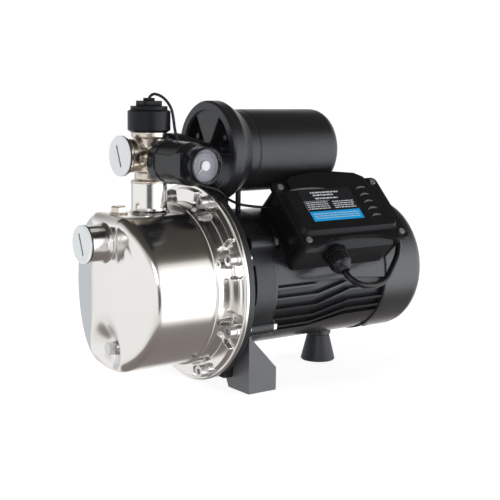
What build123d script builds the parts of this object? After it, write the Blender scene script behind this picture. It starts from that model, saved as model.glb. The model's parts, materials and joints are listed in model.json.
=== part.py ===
"""Shallow well jet pump: a stainless casing, a finned motor, and a small pressure set on top.

The pump axis runs along X at AXIS_Z above the floor, with the suction end at -X.  Stations
along the axis are measured from the front plane of the casing flange, and heights of the
turned parts are radii about the axis they belong to.  All sizes are in millimetres.
"""
import os
from math import atan2, cos, degrees, pi, radians, sin, sqrt, tan

from build123d import *

os.makedirs("parts", exist_ok=True)

# ---- driving dimensions -------------------------------------------------------------------
AXIS_Z = 112.0          # pump axis above the floor
FLANGE_X = -38.0        # flange plane, so that the front foot's holes lie at X = 0
WALL = 2.0              # pressed stainless sheet

DRUM_R = 86.5           # casing drum
DRUM_FRONT = -99.0      # plane of the drum's front rim
RIDGE_FRONT = -110.4    # flat face of the raised ridge down the front
RIDGE_HALF = 29.0       # half the width of that face
PAD_Z = 80.5            # flat pressed on top of the drum, above the axis
FLANGE_R = 108.2
LAND_X = -5.0           # front face of the flange between its stiffening pads
PAD_RING = (89.0, 104.0)
BOLT_CIRCLE_R = 98.8
BOLT_COUNT = 8
POCKET_R = 20.0         # scallop pressed round each flange bolt

PORT_R = 19.05          # 1 inch socket, 38.1 mm outside
PORT_BORE = 15.2        # its female thread, drawn plain
SUCTION_Z = 51.5        # suction socket above the axis
SUCTION_END = -133.5
BRANCH_X = -55.0        # discharge socket and five-way connector
DISCHARGE_TOP = 111.5
CROSS_Z = 140.5         # horizontal ports of the connector above the axis
CROSS_TOP = 165.0

MOTOR_FRONT = 57.0      # bracket ends and the motor housing begins
MOTOR_REAR = 217.0
HOUSING_R = 71.0        # housing between its fins
HOUSING_BORE = 66.0
SMOOTH_R = 76.0         # smooth strips above and below the fins
FIN_R = 77.0
COVER_R = 77.5
COVER_REAR = 280.0
BEARING_R = 17.5        # 6202 bearings
BEARING_BORE = 7.5
BEARING_FRONT = 45.0
BEARING_REAR = 205.0
BEARING_WIDTH = 11.0
STACK = (85.0, 170.0)   # laminated stack of stator and rotor
AIR_GAP_R = 38.0

FOOT_X = 38.0           # holes of the front foot, from the flange plane
FOOT_PITCH = 126.0
FOOT_HALF = 82.0
SHEET = 3.0             # foot sheet
FOOT_BOLT_Y = 19.0      # bolts that hold the foot to the bracket
REAR_FOOT_X = 181.0

BOX_U = (76.0, 212.0)   # terminal box base along the pump axis
BOX_HALF = 42.0
BOX_TOP = 106.0         # top of the base, from the pump axis
LID_U = (69.5, 222.5)
LID_HALF = 44.0
LID_FLANGE = 110.5
LID_TOP = 116.0
LID_SCREW_U = (79.0, 213.5)
LID_SCREW_V = 36.5
LEAD_ENTRY = (BOX_U[0], 27.5, 88.0)
GLAND_U = 122.5
GLAND_W = 92.0

TANK_Z = 142.5          # tank axis above the pump axis
TANK_FRONT = 17.0
TANK_END = 171.0
TANK_R = 45.3
TANK_RING_R = 55.0
TANK_RING_END = 36.0

GAUGE_X = -53.0         # side port with the gauge, along -Y
GAUGE_Z = 136.0
HOLDER_R = 22.0
COLLAR = (28.0, 43.0)
GAUGE_FACE = 107.5      # front of the bezel from the pump's middle plane

CORD_D = 7.0
FLOOR_Z = 0.0

# ---- frames of reference ------------------------------------------------------------------
PUMP_AXIS = Axis((0, 0, AXIS_Z), (1, 0, 0))
SIDE = Plane(origin=(FLANGE_X, 0, AXIS_Z), x_dir=(1, 0, 0), z_dir=(0, -1, 0))
BOX = Plane(origin=(FLANGE_X, 0, AXIS_Z), x_dir=(1, 0, 0), z_dir=(0, -1, 1))


def section(x):
    """Plane square to the pump axis at station x, with local X along +Y and local Y up."""
    return Plane(origin=(FLANGE_X + x, 0, AXIS_Z), x_dir=(0, 1, 0), z_dir=(1, 0, 0))


def level(x, z, y=0.0):
    """Horizontal plane at station x and height z above the pump axis."""
    return Plane(origin=(FLANGE_X + x, y, AXIS_Z + z), x_dir=(1, 0, 0), z_dir=(0, 0, 1))


def facing_gauge(depth):
    """Plane square to the gauge axis, depth mm out from the middle plane towards -Y."""
    return Plane(origin=(FLANGE_X + GAUGE_X, -depth, AXIS_Z + GAUGE_Z), x_dir=(1, 0, 0),
                 z_dir=(0, -1, 0))


def box_point(u, v, w):
    """World point from terminal box coordinates."""
    return BOX.from_local_coords(Vector(u, v, w))


# ---- shared operations --------------------------------------------------------------------
def turn(points, frame=SIDE, axis=PUMP_AXIS, mode=Mode.ADD):
    """Revolve a closed outline of (along, radius) points about an axis."""
    with BuildSketch(frame) as outline:
        with BuildLine():
            Polyline(*points, close=True)
        make_face()
    revolve(outline.sketch, axis=axis, mode=mode)


def bar(plane, radius, length, mode=Mode.ADD):
    """Round bar standing on a plane."""
    with BuildSketch(plane) as disc:
        Circle(radius)
    extrude(disc.sketch, amount=length, mode=mode)


def hexagon(plane, across_flats, length, mode=Mode.ADD):
    """Hexagonal bar standing on a plane."""
    with BuildSketch(plane) as outline:
        RegularPolygon(across_flats / 2, 6, major_radius=False)
    extrude(outline.sketch, amount=length, mode=mode)


def slab(plane, points, length, mode=Mode.ADD):
    """Flat plate of a given outline standing on a plane."""
    with BuildSketch(plane) as outline:
        with BuildLine():
            Polyline(*points, close=True)
        make_face()
    extrude(outline.sketch, amount=length, mode=mode)


def upright_turn(x, z, points, mode=Mode.ADD, y=0.0):
    """Revolve an outline of (radius, height) points about a vertical line at station x."""
    plane = Plane(origin=(FLANGE_X + x, y, AXIS_Z + z), x_dir=(1, 0, 0), z_dir=(0, -1, 0))
    turn(points, plane, Axis((FLANGE_X + x, y, AXIS_Z), (0, 0, 1)), mode)


def tank_turn(points, mode=Mode.ADD):
    """Revolve an outline of (along, radius) points about the tank's axis."""
    plane = Plane(origin=(FLANGE_X, 0, AXIS_Z + TANK_Z), x_dir=(1, 0, 0), z_dir=(0, -1, 0))
    turn(points, plane, Axis((0, 0, AXIS_Z + TANK_Z), (1, 0, 0)), mode)


def gauge_turn(points, mode=Mode.ADD):
    """Revolve an outline of (depth, radius) points about the gauge's axis."""
    origin = (FLANGE_X + GAUGE_X, 0, AXIS_Z + GAUGE_Z)
    plane = Plane(origin=origin, x_dir=(0, -1, 0), z_dir=(-1, 0, 0))
    turn(points, plane, Axis(origin, (0, -1, 0)), mode)


# ---- pump casing --------------------------------------------------------------------------
def drum(inset):
    """The drum with its ridged front and flattened top, drawn inset mm inside the skin."""
    front, rim, radius = RIDGE_FRONT + inset, DRUM_FRONT + inset, DRUM_R - inset
    back = LAND_X + WALL
    with BuildPart() as body:
        turn([(back, 0), (back, radius), (rim + 6, radius), (rim + 1, radius - 3),
              (front + 4, radius - 8), (front, radius - 13), (front, 0)])
        for side in (1, -1):
            half = side * (RIDGE_HALF - inset / 2)
            slab(Plane.XY.offset(-AXIS_Z), [
                (FLANGE_X + front - 5, half), (FLANGE_X + front, half),
                (FLANGE_X + rim, side * (radius - 9)), (FLANGE_X + rim + 3, side * (radius + 1)),
                (FLANGE_X + front - 5, side * (radius + 1))], 4 * AXIS_Z, Mode.SUBTRACT)
        slab(level(0, PAD_Z - inset), [(front - 5, -60), (inset - 26, -60), (inset - 26, 60),
                                       (front - 5, 60)], 30, Mode.SUBTRACT)
    return body.part


def dimple_cone(growth):
    """Cone of the drain dimple, opening forwards, grown by a wall thickness."""
    with BuildPart() as cone:
        with BuildSketch(DIMPLE.offset(-growth)) as floor:
            Circle(10 + growth)
        with BuildSketch(DIMPLE.offset(15)) as mouth:
            Circle(25 + growth)
        loft([floor.sketch, mouth.sketch])
    return cone.part


DIMPLE = Plane(origin=(FLANGE_X - 97, 0, AXIS_Z - 62), x_dir=(0, 1, 0), z_dir=(-1, 0, 0))


with BuildPart() as pump_casing:
    add(drum(0.0))
    turn([(-26, 80), (-26, 88.5), (LAND_X, 88.5), (LAND_X, 106), (-3.5, FLANGE_R),
          (0, FLANGE_R), (0, 105.6), (-3, 105.6), (-3, 80)])
    with BuildSketch(section(LAND_X)) as pads:
        Circle(PAD_RING[1])
        Circle(PAD_RING[0] - 2, mode=Mode.SUBTRACT)
        with PolarLocations(BOLT_CIRCLE_R, BOLT_COUNT, start_angle=180 / BOLT_COUNT):
            Circle(POCKET_R, mode=Mode.SUBTRACT)
    extrude(pads.sketch, amount=-5)
    add(drum(WALL), mode=Mode.SUBTRACT)
    turn([(-24, 0), (-24, 86.5), (-3, 86.5), (-3, 0)], mode=Mode.SUBTRACT)
    with BuildSketch(section(-20)) as bolt_holes:
        with PolarLocations(BOLT_CIRCLE_R, BOLT_COUNT, start_angle=180 / BOLT_COUNT):
            Circle(4.3)
    extrude(bolt_holes.sketch, amount=20, mode=Mode.SUBTRACT)
    # dimple for the drain plug, low on the ridge
    add(dimple_cone(WALL) & drum(0.0))
    bar(DIMPLE.offset(-6), 9, 5)
    add(dimple_cone(0.0), mode=Mode.SUBTRACT)
    # ports, priming hole and drain hole
    port_axis = Plane(origin=(FLANGE_X - 90, 0, AXIS_Z + SUCTION_Z), x_dir=(0, 1, 0),
                      z_dir=(-1, 0, 0))
    bar(port_axis, PORT_BORE, 30, Mode.SUBTRACT)
    bar(level(BRANCH_X, 70), PORT_BORE, 20, Mode.SUBTRACT)
    bar(level(-92, 70), 6.2, 20, Mode.SUBTRACT)
    bar(DIMPLE.offset(-7), 5.2, 12, Mode.SUBTRACT)
pump_casing.part.label = "pump_casing"
export_step(pump_casing.part, "parts/pump_casing.step")

with BuildPart() as port_sockets:
    suction_line = Plane(origin=(FLANGE_X, 0, AXIS_Z + SUCTION_Z), x_dir=(1, 0, 0),
                         z_dir=(0, -1, 0))
    turn([(RIDGE_FRONT, PORT_BORE), (RIDGE_FRONT, 21.5), (RIDGE_FRONT - 2, PORT_R + 0.6),
          (RIDGE_FRONT - 4, PORT_R), (SUCTION_END, PORT_R), (SUCTION_END, PORT_BORE)],
         suction_line, Axis((0, 0, AXIS_Z + SUCTION_Z), (1, 0, 0)))
    upright_turn(BRANCH_X, 0, [(PORT_BORE, PAD_Z), (22, PAD_Z), (PORT_R + 0.8, PAD_Z + 2.5),
                               (PORT_R, PAD_Z + 5), (PORT_R, DISCHARGE_TOP),
                               (PORT_BORE, DISCHARGE_TOP)])
port_sockets.part.label = "port_sockets"
export_step(port_sockets.part, "parts/port_sockets.step")


def slotted_cap(origin, rim_radius, plug_radius, plug_length):
    """Screw-in transit plug facing -X: a rim, a threaded skirt and a coin slot."""
    face = Plane(origin=origin, x_dir=(0, 1, 0), z_dir=(1, 0, 0))
    with BuildPart() as cap:
        bar(face, rim_radius, 2.5)
        bar(face.offset(2.5), plug_radius, plug_length)
        bar(face.offset(4.5), plug_radius - 2, plug_length, Mode.SUBTRACT)
        with BuildSketch(face) as slot:
            SlotOverall(24, 2.6, rotation=68)
        extrude(slot.sketch, amount=1.4, mode=Mode.SUBTRACT)
        front_edges = cap.edges().filter_by(GeomType.CIRCLE).group_by(Axis.X)[0]
        fillet(front_edges.filter_by(lambda e: e.radius > rim_radius - 0.1), 1.2)
    return cap.part


with BuildPart() as suction_cap:
    add(slotted_cap((FLANGE_X + SUCTION_END - 2.5, 0, AXIS_Z + SUCTION_Z), 20.2, 15.0, 12))
suction_cap.part.label = "suction_cap"
export_step(suction_cap.part, "parts/suction_cap.step")

with BuildPart() as outlet_cap:
    add(slotted_cap((FLANGE_X - 91.5, 0, AXIS_Z + CROSS_Z), 21.2, 13.9, 11))
outlet_cap.part.label = "outlet_cap"
export_step(outlet_cap.part, "parts/outlet_cap.step")

with BuildPart() as priming_plug:
    bar(level(-92, PAD_Z), 9.5, 1.5)
    hexagon(level(-92, PAD_Z + 1.5), 15, 6.8)
    bar(level(-92, PAD_Z - 9), 6.0, 9)
    chamfer(priming_plug.edges().group_by(Axis.Z)[-1], 0.8)
priming_plug.part.label = "priming_plug"
export_step(priming_plug.part, "parts/priming_plug.step")

with BuildPart() as drain_plug:
    bar(DIMPLE, 7.5, 1.2)
    hexagon(DIMPLE.offset(1.2), 12, 8)
    bar(DIMPLE.offset(-7), 5.0, 7)
drain_plug.part.label = "drain_plug"
export_step(drain_plug.part, "parts/drain_plug.step")

with BuildPart() as flange_bolts:
    with BuildSketch(section(LAND_X)) as washers:
        with PolarLocations(BOLT_CIRCLE_R, BOLT_COUNT, start_angle=180 / BOLT_COUNT):
            Circle(7.6)
    extrude(washers.sketch, amount=-3.4)
    with BuildSketch(section(-16.4)) as heads:
        with PolarLocations(BOLT_CIRCLE_R, BOLT_COUNT, start_angle=180 / BOLT_COUNT):
            Circle(6.5)
    extrude(heads.sketch, amount=8)
    with BuildSketch(section(-16.4)) as sockets:
        with PolarLocations(BOLT_CIRCLE_R, BOLT_COUNT, start_angle=180 / BOLT_COUNT):
            RegularPolygon(3, 6, major_radius=False)
    extrude(sockets.sketch, amount=4.5, mode=Mode.SUBTRACT)
    with BuildSketch(section(LAND_X)) as shanks:
        with PolarLocations(BOLT_CIRCLE_R, BOLT_COUNT, start_angle=180 / BOLT_COUNT):
            Circle(3.95)
    extrude(shanks.sketch, amount=17)
flange_bolts.part.label = "flange_bolts"
export_step(flange_bolts.part, "parts/flange_bolts.step")

with BuildPart() as casing_seal:
    turn([(-3, 87), (-3, 91), (-2, 91), (-2, 87)])
casing_seal.part.label = "casing_seal"
export_step(casing_seal.part, "parts/casing_seal.step")

with BuildPart() as seal_plate:
    turn([(-2, 14), (-2, 91), (0, 91), (0, 22), (10, 22), (10, 14)])
seal_plate.part.label = "seal_plate"
export_step(seal_plate.part, "parts/seal_plate.step")

# ---- hydraulics inside the casing ---------------------------------------------------------
with BuildPart() as diffuser:
    turn([(-36, 20.5), (-36, 24), (-46, 24), (-46, 16), (-38, 16), (-38, 19.5), (-36, 20.5)])
    turn([(-36, 20.5), (-36, 78), (-2, 78), (-2, 74), (-33.5, 74), (-33.5, 20.5)])
    with BuildSketch(section(-34)) as guide_vanes:
        with PolarLocations(69.5, 7):
            Rectangle(11, 2.4, rotation=35)
    extrude(guide_vanes.sketch, amount=26)
diffuser.part.label = "diffuser"
export_step(diffuser.part, "parts/diffuser.step")

with BuildPart() as venturi_tube:
    turn([(-88, 14), (-88, 16), (-38, 16), (-38, 13), (-68, 6.5), (-76, 6.5), (-80, 8.5)])
venturi_tube.part.label = "venturi_tube"
export_step(venturi_tube.part, "parts/venturi_tube.step")

with BuildPart() as jet_nozzle:
    nozzle_back = RIDGE_FRONT + WALL
    turn([(nozzle_back, 0), (nozzle_back, 16), (nozzle_back + 3, 16), (nozzle_back + 3, 10),
          (-94, 10), (-84, 5.6), (-84, 2.8), (-94, 5), (-102, 5), (-102, 0)])
    with BuildSketch(Plane(origin=(FLANGE_X - 99, 0, AXIS_Z - 12), x_dir=(1, 0, 0),
                           z_dir=(0, 0, 1))) as feed_hole:
        Circle(3.5)
    extrude(feed_hole.sketch, amount=12, mode=Mode.SUBTRACT)
jet_nozzle.part.label = "jet_nozzle"
export_step(jet_nozzle.part, "parts/jet_nozzle.step")

SUCTION_AXIS = Axis((0, 0, AXIS_Z + SUCTION_Z), (1, 0, 0))
with BuildPart() as check_valve_seat:
    turn([(-119, 10), (-119, PORT_BORE), (-117, PORT_BORE), (-117, 10)], suction_line,
         SUCTION_AXIS)
    turn([(-108, 2.6), (-108, 4.5), (-105, 4.5), (-105, 2.6)], suction_line, SUCTION_AXIS)
    with BuildSketch(Plane(origin=(FLANGE_X - 108, 0, AXIS_Z + SUCTION_Z), x_dir=(0, 1, 0),
                           z_dir=(1, 0, 0))) as spider:
        with PolarLocations(9, 3, start_angle=90):
            Rectangle(10.6, 2.4)
    extrude(spider.sketch, amount=3)
    with BuildSketch(Plane(origin=(FLANGE_X - 119, 0, AXIS_Z + SUCTION_Z), x_dir=(0, 1, 0),
                           z_dir=(1, 0, 0))) as legs:
        with PolarLocations(14.3, 3, start_angle=90):
            Rectangle(1.6, 2.4)
    extrude(legs.sketch, amount=14)
check_valve_seat.part.label = "check_valve_seat"
export_step(check_valve_seat.part, "parts/check_valve_seat.step")

with BuildPart() as check_valve_poppet:
    turn([(-116.7, 0), (-116.7, 12), (-114.7, 12), (-113.5, 4), (-113.5, 2.5), (-103, 2.5),
          (-103, 0)], suction_line, SUCTION_AXIS)
check_valve_poppet.part.label = "check_valve_poppet"
export_step(check_valve_poppet.part, "parts/check_valve_poppet.step")

IMPELLER_R = 61.0
with BuildPart() as impeller:
    turn([(-28, 6), (-28, 11), (-20, 12), (-18, IMPELLER_R), (-16, IMPELLER_R), (-16, 6)])
    turn([(-31.5, 17), (-31.5, 19), (-27.5, 19), (-27, IMPELLER_R), (-25.2, IMPELLER_R),
          (-25.2, 17)])
    with BuildSketch(section(-25.6)) as vane:
        with BuildLine():
            back_curve = ThreePointArc((14, 0), (38, 12), (60.5, 0))
            front_curve = ThreePointArc((15.5, -1.6), (38, 10.0), (60.5, -2.4))
            Line(back_curve @ 0, front_curve @ 0)
            Line(back_curve @ 1, front_curve @ 1)
        make_face()
    vane_block = extrude(vane.sketch, amount=7.4, mode=Mode.PRIVATE)
    for step in range(6):
        add(vane_block.rotate(PUMP_AXIS, 60 * step))
impeller.part.label = "impeller"
export_step(impeller.part, "parts/impeller.step")

with BuildPart() as impeller_nut:
    hexagon(section(-34), 13, 6)
    bar(section(-34), 5, 6, Mode.SUBTRACT)
impeller_nut.part.label = "impeller_nut"
export_step(impeller_nut.part, "parts/impeller_nut.step")

with BuildPart() as seal_ring:
    turn([(-15.9, 7), (-15.9, 12), (-8, 12), (-8, 10.5), (-2.3, 10.5), (-2.3, 7)])
seal_ring.part.label = "seal_ring"
export_step(seal_ring.part, "parts/seal_ring.step")

with BuildPart() as seal_seat:
    turn([(-2, 8.2), (-2, 14), (5, 14), (5, 8.2)])
seal_seat.part.label = "seal_seat"
export_step(seal_seat.part, "parts/seal_seat.step")

# ---- bracket between pump and motor -------------------------------------------------------
LUG_ANGLES = (37.5, 142.5, 217.5, 322.5)
LUG_R = 76.0


def at_lugs(radius, start, length, mode=Mode.ADD):
    """Round bars along the pump axis at the four motor lugs."""
    with BuildSketch(section(start)) as discs:
        for angle in LUG_ANGLES:
            with Locations((LUG_R * cos(radians(angle)), LUG_R * sin(radians(angle)))):
                Circle(radius)
    extrude(discs.sketch, amount=length, mode=mode)


with BuildPart() as motor_bracket:
    turn([(-3, 91.3), (-3, 105.2), (0, 105.2), (0, 107.5), (7, 107.5), (7, 84), (14, FIN_R),
          (MOTOR_FRONT, FIN_R), (MOTOR_FRONT, BEARING_R), (44, BEARING_R), (44, 26), (51, 26),
          (51, 70), (12, 70), (6, 78), (0.3, 78), (0.3, 91.3)])
    at_lugs(8.5, 30, MOTOR_FRONT - 30)
    # block under the drum that the front foot bolts to
    slab(section(7), [(-56, -66), (-52, -99), (52, -99), (56, -66)], 11.6)
    turn([(8, 0), (12, 70), (51, 70), (51, 26), (44, 26), (44, 0)], mode=Mode.SUBTRACT)
    for side in (1, -1):
        slab(Plane.XY.offset(AXIS_Z - 18), [(FLANGE_X + 16, side * 60),
                                            (FLANGE_X + 32, side * 60),
                                            (FLANGE_X + 32, side * 90),
                                            (FLANGE_X + 16, side * 90)], 43, Mode.SUBTRACT)
    with BuildSketch(section(-4)) as tapped_holes:
        with PolarLocations(BOLT_CIRCLE_R, BOLT_COUNT, start_angle=180 / BOLT_COUNT):
            Circle(4.0)
    extrude(tapped_holes.sketch, amount=17, mode=Mode.SUBTRACT)
    at_lugs(3.0, 44, 20, Mode.SUBTRACT)
    with BuildSketch(section(8)) as foot_taps:
        with Locations((-FOOT_BOLT_Y, -88), (FOOT_BOLT_Y, -88)):
            Circle(4.0)
    extrude(foot_taps.sketch, amount=12, mode=Mode.SUBTRACT)
motor_bracket.part.label = "motor_bracket"
export_step(motor_bracket.part, "parts/motor_bracket.step")

# ---- motor --------------------------------------------------------------------------------
# fins run level from the bracket, step up past the cable gland and run level to the rear;
# each is (height at the front, height at the rear, last station)
FINS = ((-3.0, -3.0, 117.0), (-14.7, -3.0, 160.0), (-27.6, -13.6, MOTOR_REAR),
        (-39.5, -27.4, MOTOR_REAR), (-49.4, -38.0, MOTOR_REAR))
FIN_STEP = (118.0, 165.0)


def fin_outline(front, rear, last, thickness=2.6):
    """Side outline of one fin as (station, height) points."""
    half = thickness / 2
    share = min(1.0, (last - FIN_STEP[0]) / (FIN_STEP[1] - FIN_STEP[0]))
    middle = front + (rear - front) * max(0.0, share)
    upper = [(MOTOR_FRONT, front + half)]
    if last > FIN_STEP[0]:
        upper.append((FIN_STEP[0], front + half))
    if last > FIN_STEP[1]:
        upper.append((FIN_STEP[1], rear + half))
    upper.append((last, middle + half))
    return upper + [(x, z - thickness) for x, z in reversed(upper)]


with BuildPart() as motor_housing:
    for fin in FINS:
        slab(SIDE.offset(-90), fin_outline(*fin), 180)
    # smooth strips over the top and along the bottom
    slab(SIDE.offset(-90), [(MOTOR_FRONT, 1.5), (117, 1.5), (160, 1.5), (MOTOR_REAR, -3.6),
                            (MOTOR_REAR, 90), (MOTOR_FRONT, 90)], 180)
    slab(SIDE.offset(-90), [(MOTOR_FRONT, -54), (118, -54), (165, -45), (MOTOR_REAR, -45),
                            (MOTOR_REAR, -90), (MOTOR_FRONT, -90)], 180)
    turn([(MOTOR_FRONT, SMOOTH_R), (MOTOR_FRONT, 130), (MOTOR_REAR, 130),
          (MOTOR_REAR, SMOOTH_R)], mode=Mode.SUBTRACT)
    turn([(MOTOR_FRONT, 0), (MOTOR_FRONT, HOUSING_R), (MOTOR_REAR, HOUSING_R),
          (MOTOR_REAR, 0)])
    turn([(MOTOR_FRONT, 0), (MOTOR_FRONT, FIN_R), (MOTOR_FRONT + 3, FIN_R),
          (MOTOR_FRONT + 3, 0)])
    at_lugs(8.0, MOTOR_FRONT, 5)
    at_lugs(7.5, MOTOR_FRONT + 5, 12, Mode.SUBTRACT)
    turn([(MOTOR_FRONT, 0), (MOTOR_FRONT, HOUSING_BORE), (MOTOR_REAR, HOUSING_BORE),
          (MOTOR_REAR, 0)], mode=Mode.SUBTRACT)
    at_lugs(3.1, MOTOR_FRONT, 6, Mode.SUBTRACT)
    # boss for the rubber foot
    bar(level(REAR_FOOT_X, -80), 15, 10)
    bar(level(REAR_FOOT_X, -80), 3.2, 7, Mode.SUBTRACT)
    turn([(MOTOR_FRONT, 0), (MOTOR_FRONT, HOUSING_BORE), (MOTOR_REAR, HOUSING_BORE),
          (MOTOR_REAR, 0)], mode=Mode.SUBTRACT)
motor_housing.part.label = "motor_housing"
export_step(motor_housing.part, "parts/motor_housing.step")

with BuildPart() as bracket_bolts:
    at_lugs(2.95, 46, 18)
    at_lugs(6.0, MOTOR_FRONT + 5, 1.2)
    with BuildSketch(section(MOTOR_FRONT + 6.2)) as bolt_heads:
        for lug_angle in LUG_ANGLES:
            with Locations((LUG_R * cos(radians(lug_angle)), LUG_R * sin(radians(lug_angle)))):
                RegularPolygon(5, 6, major_radius=False, rotation=lug_angle)
    extrude(bolt_heads.sketch, amount=5)
bracket_bolts.part.label = "bracket_bolts"
export_step(bracket_bolts.part, "parts/bracket_bolts.step")

with BuildPart() as stator_core:
    turn([(STACK[0], AIR_GAP_R), (STACK[0], HOUSING_BORE), (STACK[1], HOUSING_BORE),
          (STACK[1], AIR_GAP_R)])
    with BuildSketch(section(STACK[0])) as stator_slots:
        with PolarLocations(46, 24):
            Rectangle(12, 4.6)
        with PolarLocations(39, 24):
            Rectangle(6, 2)
    extrude(stator_slots.sketch, amount=STACK[1] - STACK[0], mode=Mode.SUBTRACT)
stator_core.part.label = "stator_core"
export_step(stator_core.part, "parts/stator_core.step")

with BuildPart() as stator_windings:
    for start, end in ((66, STACK[0]), (STACK[1], 189)):
        turn([(start, 46), (start + 2, 42), (end - 2, 42), (end, 44), (end, 58), (end - 2, 60),
              (start + 2, 60), (start, 56)])
stator_windings.part.label = "stator_windings"
export_step(stator_windings.part, "parts/stator_windings.step")

with BuildPart() as rotor_shaft:
    turn([(-36, 0), (-36, 5), (-28, 5), (-28, 6), (-16, 6), (-16, 7), (BEARING_FRONT, 7),
          (BEARING_FRONT, BEARING_BORE), (BEARING_FRONT + BEARING_WIDTH, BEARING_BORE),
          (BEARING_FRONT + BEARING_WIDTH, 9), (BEARING_REAR, 9), (BEARING_REAR, BEARING_BORE),
          (BEARING_REAR + BEARING_WIDTH, BEARING_BORE), (BEARING_REAR + BEARING_WIDTH, 6.5),
          (231, 6.5), (231, 6), (254, 6), (254, 0)])
rotor_shaft.part.label = "rotor_shaft"
export_step(rotor_shaft.part, "parts/rotor_shaft.step")

with BuildPart() as rotor_core:
    turn([(STACK[0], 9), (STACK[0], AIR_GAP_R - 0.4), (STACK[1], AIR_GAP_R - 0.4),
          (STACK[1], 9)])
    for start, end in ((STACK[0] - 7, STACK[0]), (STACK[1], STACK[1] + 7)):
        turn([(start, 24), (start, 36), (end, 36), (end, 24)])
rotor_core.part.label = "rotor_core"
export_step(rotor_core.part, "parts/rotor_core.step")

BALL_CIRCLE_R = 12.5
BALL_R = 2.9
BEARING_STARTS = (BEARING_FRONT, BEARING_REAR)
with BuildPart() as bearing_outer_rings:
    for start in BEARING_STARTS:
        turn([(start, 14.4), (start, BEARING_R), (start + BEARING_WIDTH, BEARING_R),
              (start + BEARING_WIDTH, 14.4)])
        race = Plane(origin=(FLANGE_X + start + BEARING_WIDTH / 2, 0, AXIS_Z),
                     x_dir=(1, 0, 0), z_dir=(0, -1, 0))
        with BuildSketch(race) as outer_groove:
            with Locations((0, BALL_CIRCLE_R)):
                Circle(BALL_R + 0.08)
        revolve(outer_groove.sketch, axis=PUMP_AXIS, mode=Mode.SUBTRACT)
bearing_outer_rings.part.label = "bearing_outer_rings"
export_step(bearing_outer_rings.part, "parts/bearing_outer_rings.step")

with BuildPart() as bearing_inner_rings:
    for start in BEARING_STARTS:
        turn([(start, BEARING_BORE), (start, 10.6), (start + BEARING_WIDTH, 10.6),
              (start + BEARING_WIDTH, BEARING_BORE)])
        race = Plane(origin=(FLANGE_X + start + BEARING_WIDTH / 2, 0, AXIS_Z),
                     x_dir=(1, 0, 0), z_dir=(0, -1, 0))
        with BuildSketch(race) as inner_groove:
            with Locations((0, BALL_CIRCLE_R)):
                Circle(BALL_R + 0.08)
        revolve(inner_groove.sketch, axis=PUMP_AXIS, mode=Mode.SUBTRACT)
    for start in BEARING_STARTS:
        middle = Plane(origin=(FLANGE_X + start + BEARING_WIDTH / 2, 0, AXIS_Z),
                       x_dir=(0, 1, 0), z_dir=(1, 0, 0))
        with Locations(middle):
            with PolarLocations(BALL_CIRCLE_R, 8):
                Sphere(BALL_R)
bearing_inner_rings.part.label = "bearing_inner_rings"
export_step(bearing_inner_rings.part, "parts/bearing_inner_rings.step")

with BuildPart() as rear_end_shield:
    turn([(204, BEARING_R), (204, 24), (213, 24), (213, 58), (209, 60), (209, 65.9),
          (MOTOR_REAR, 65.9), (MOTOR_REAR, 76), (225, 76), (225, 72), (222, 70), (222, 9),
          (216.5, 9),
          (216.5, BEARING_R)])
    with BuildSketch(section(212)) as shield_vents:
        with PolarLocations(42, 8, start_angle=22.5):
            SlotOverall(22, 9)
    extrude(shield_vents.sketch, amount=12, mode=Mode.SUBTRACT)
rear_end_shield.part.label = "rear_end_shield"
export_step(rear_end_shield.part, "parts/rear_end_shield.step")

with BuildPart() as cooling_fan:
    turn([(231, 6), (231, 11), (240, 13), (243, 58), (245, 58), (246, 13), (252, 11),
          (252, 6)])
    with BuildSketch(section(229)) as blades:
        with PolarLocations(36, 9):
            Rectangle(46, 2.2)
    extrude(blades.sketch, amount=15)
    turn([(228, 0), (228, 13), (231, 13), (231, 0)], mode=Mode.SUBTRACT)
cooling_fan.part.label = "cooling_fan"
export_step(cooling_fan.part, "parts/cooling_fan.step")

COVER_SCREW_X = 221.0
COVER_SCREW_ANGLES = (60, 120, 240, 300)


def radial_plane(station, angle, distance):
    """Plane facing outwards from the pump axis; the angle is counted from +Y upwards."""
    out = Vector(0, cos(radians(angle)), sin(radians(angle)))
    return Plane(origin=Vector(FLANGE_X + station, 0, AXIS_Z) + out * distance,
                 x_dir=(1, 0, 0), z_dir=out)


with BuildPart() as fan_cover:
    turn([(MOTOR_REAR + 0.5, 76), (MOTOR_REAR + 0.5, COVER_R), (COVER_REAR - 13, COVER_R),
          (COVER_REAR - 9.5, COVER_R - 0.7), (COVER_REAR - 6, COVER_R - 2.6),
          (COVER_REAR - 3, COVER_R - 5.5), (COVER_REAR - 1, COVER_R - 9),
          (COVER_REAR, COVER_R - 13), (COVER_REAR, 0), (COVER_REAR - 1.5, 0),
          (COVER_REAR - 1.5, COVER_R - 14), (COVER_REAR - 4.5, COVER_R - 7.5),
          (COVER_REAR - 9, COVER_R - 3), (COVER_REAR - 13.5, COVER_R - 1.5)])
    with BuildSketch(section(COVER_REAR - 5)) as grille:
        for ring_radius, slot_count in ((18, 12), (34, 24), (51, 36)):
            with PolarLocations(ring_radius, slot_count):
                SlotOverall(13, 3.2)
    extrude(grille.sketch, amount=10, mode=Mode.SUBTRACT)
    for screw_angle in COVER_SCREW_ANGLES:
        bar(radial_plane(COVER_SCREW_X, screw_angle, 70), 2.1, 10, Mode.SUBTRACT)
fan_cover.part.label = "fan_cover"
export_step(fan_cover.part, "parts/fan_cover.step")

with BuildPart() as fan_cover_screws:
    for screw_angle in COVER_SCREW_ANGLES:
        bar(radial_plane(COVER_SCREW_X, screw_angle, COVER_R + 0.2), 3.6, 1.8)
        bar(radial_plane(COVER_SCREW_X, screw_angle, 76.2), 1.9, 2)
fan_cover_screws.part.label = "fan_cover_screws"
export_step(fan_cover_screws.part, "parts/fan_cover_screws.step")

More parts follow.
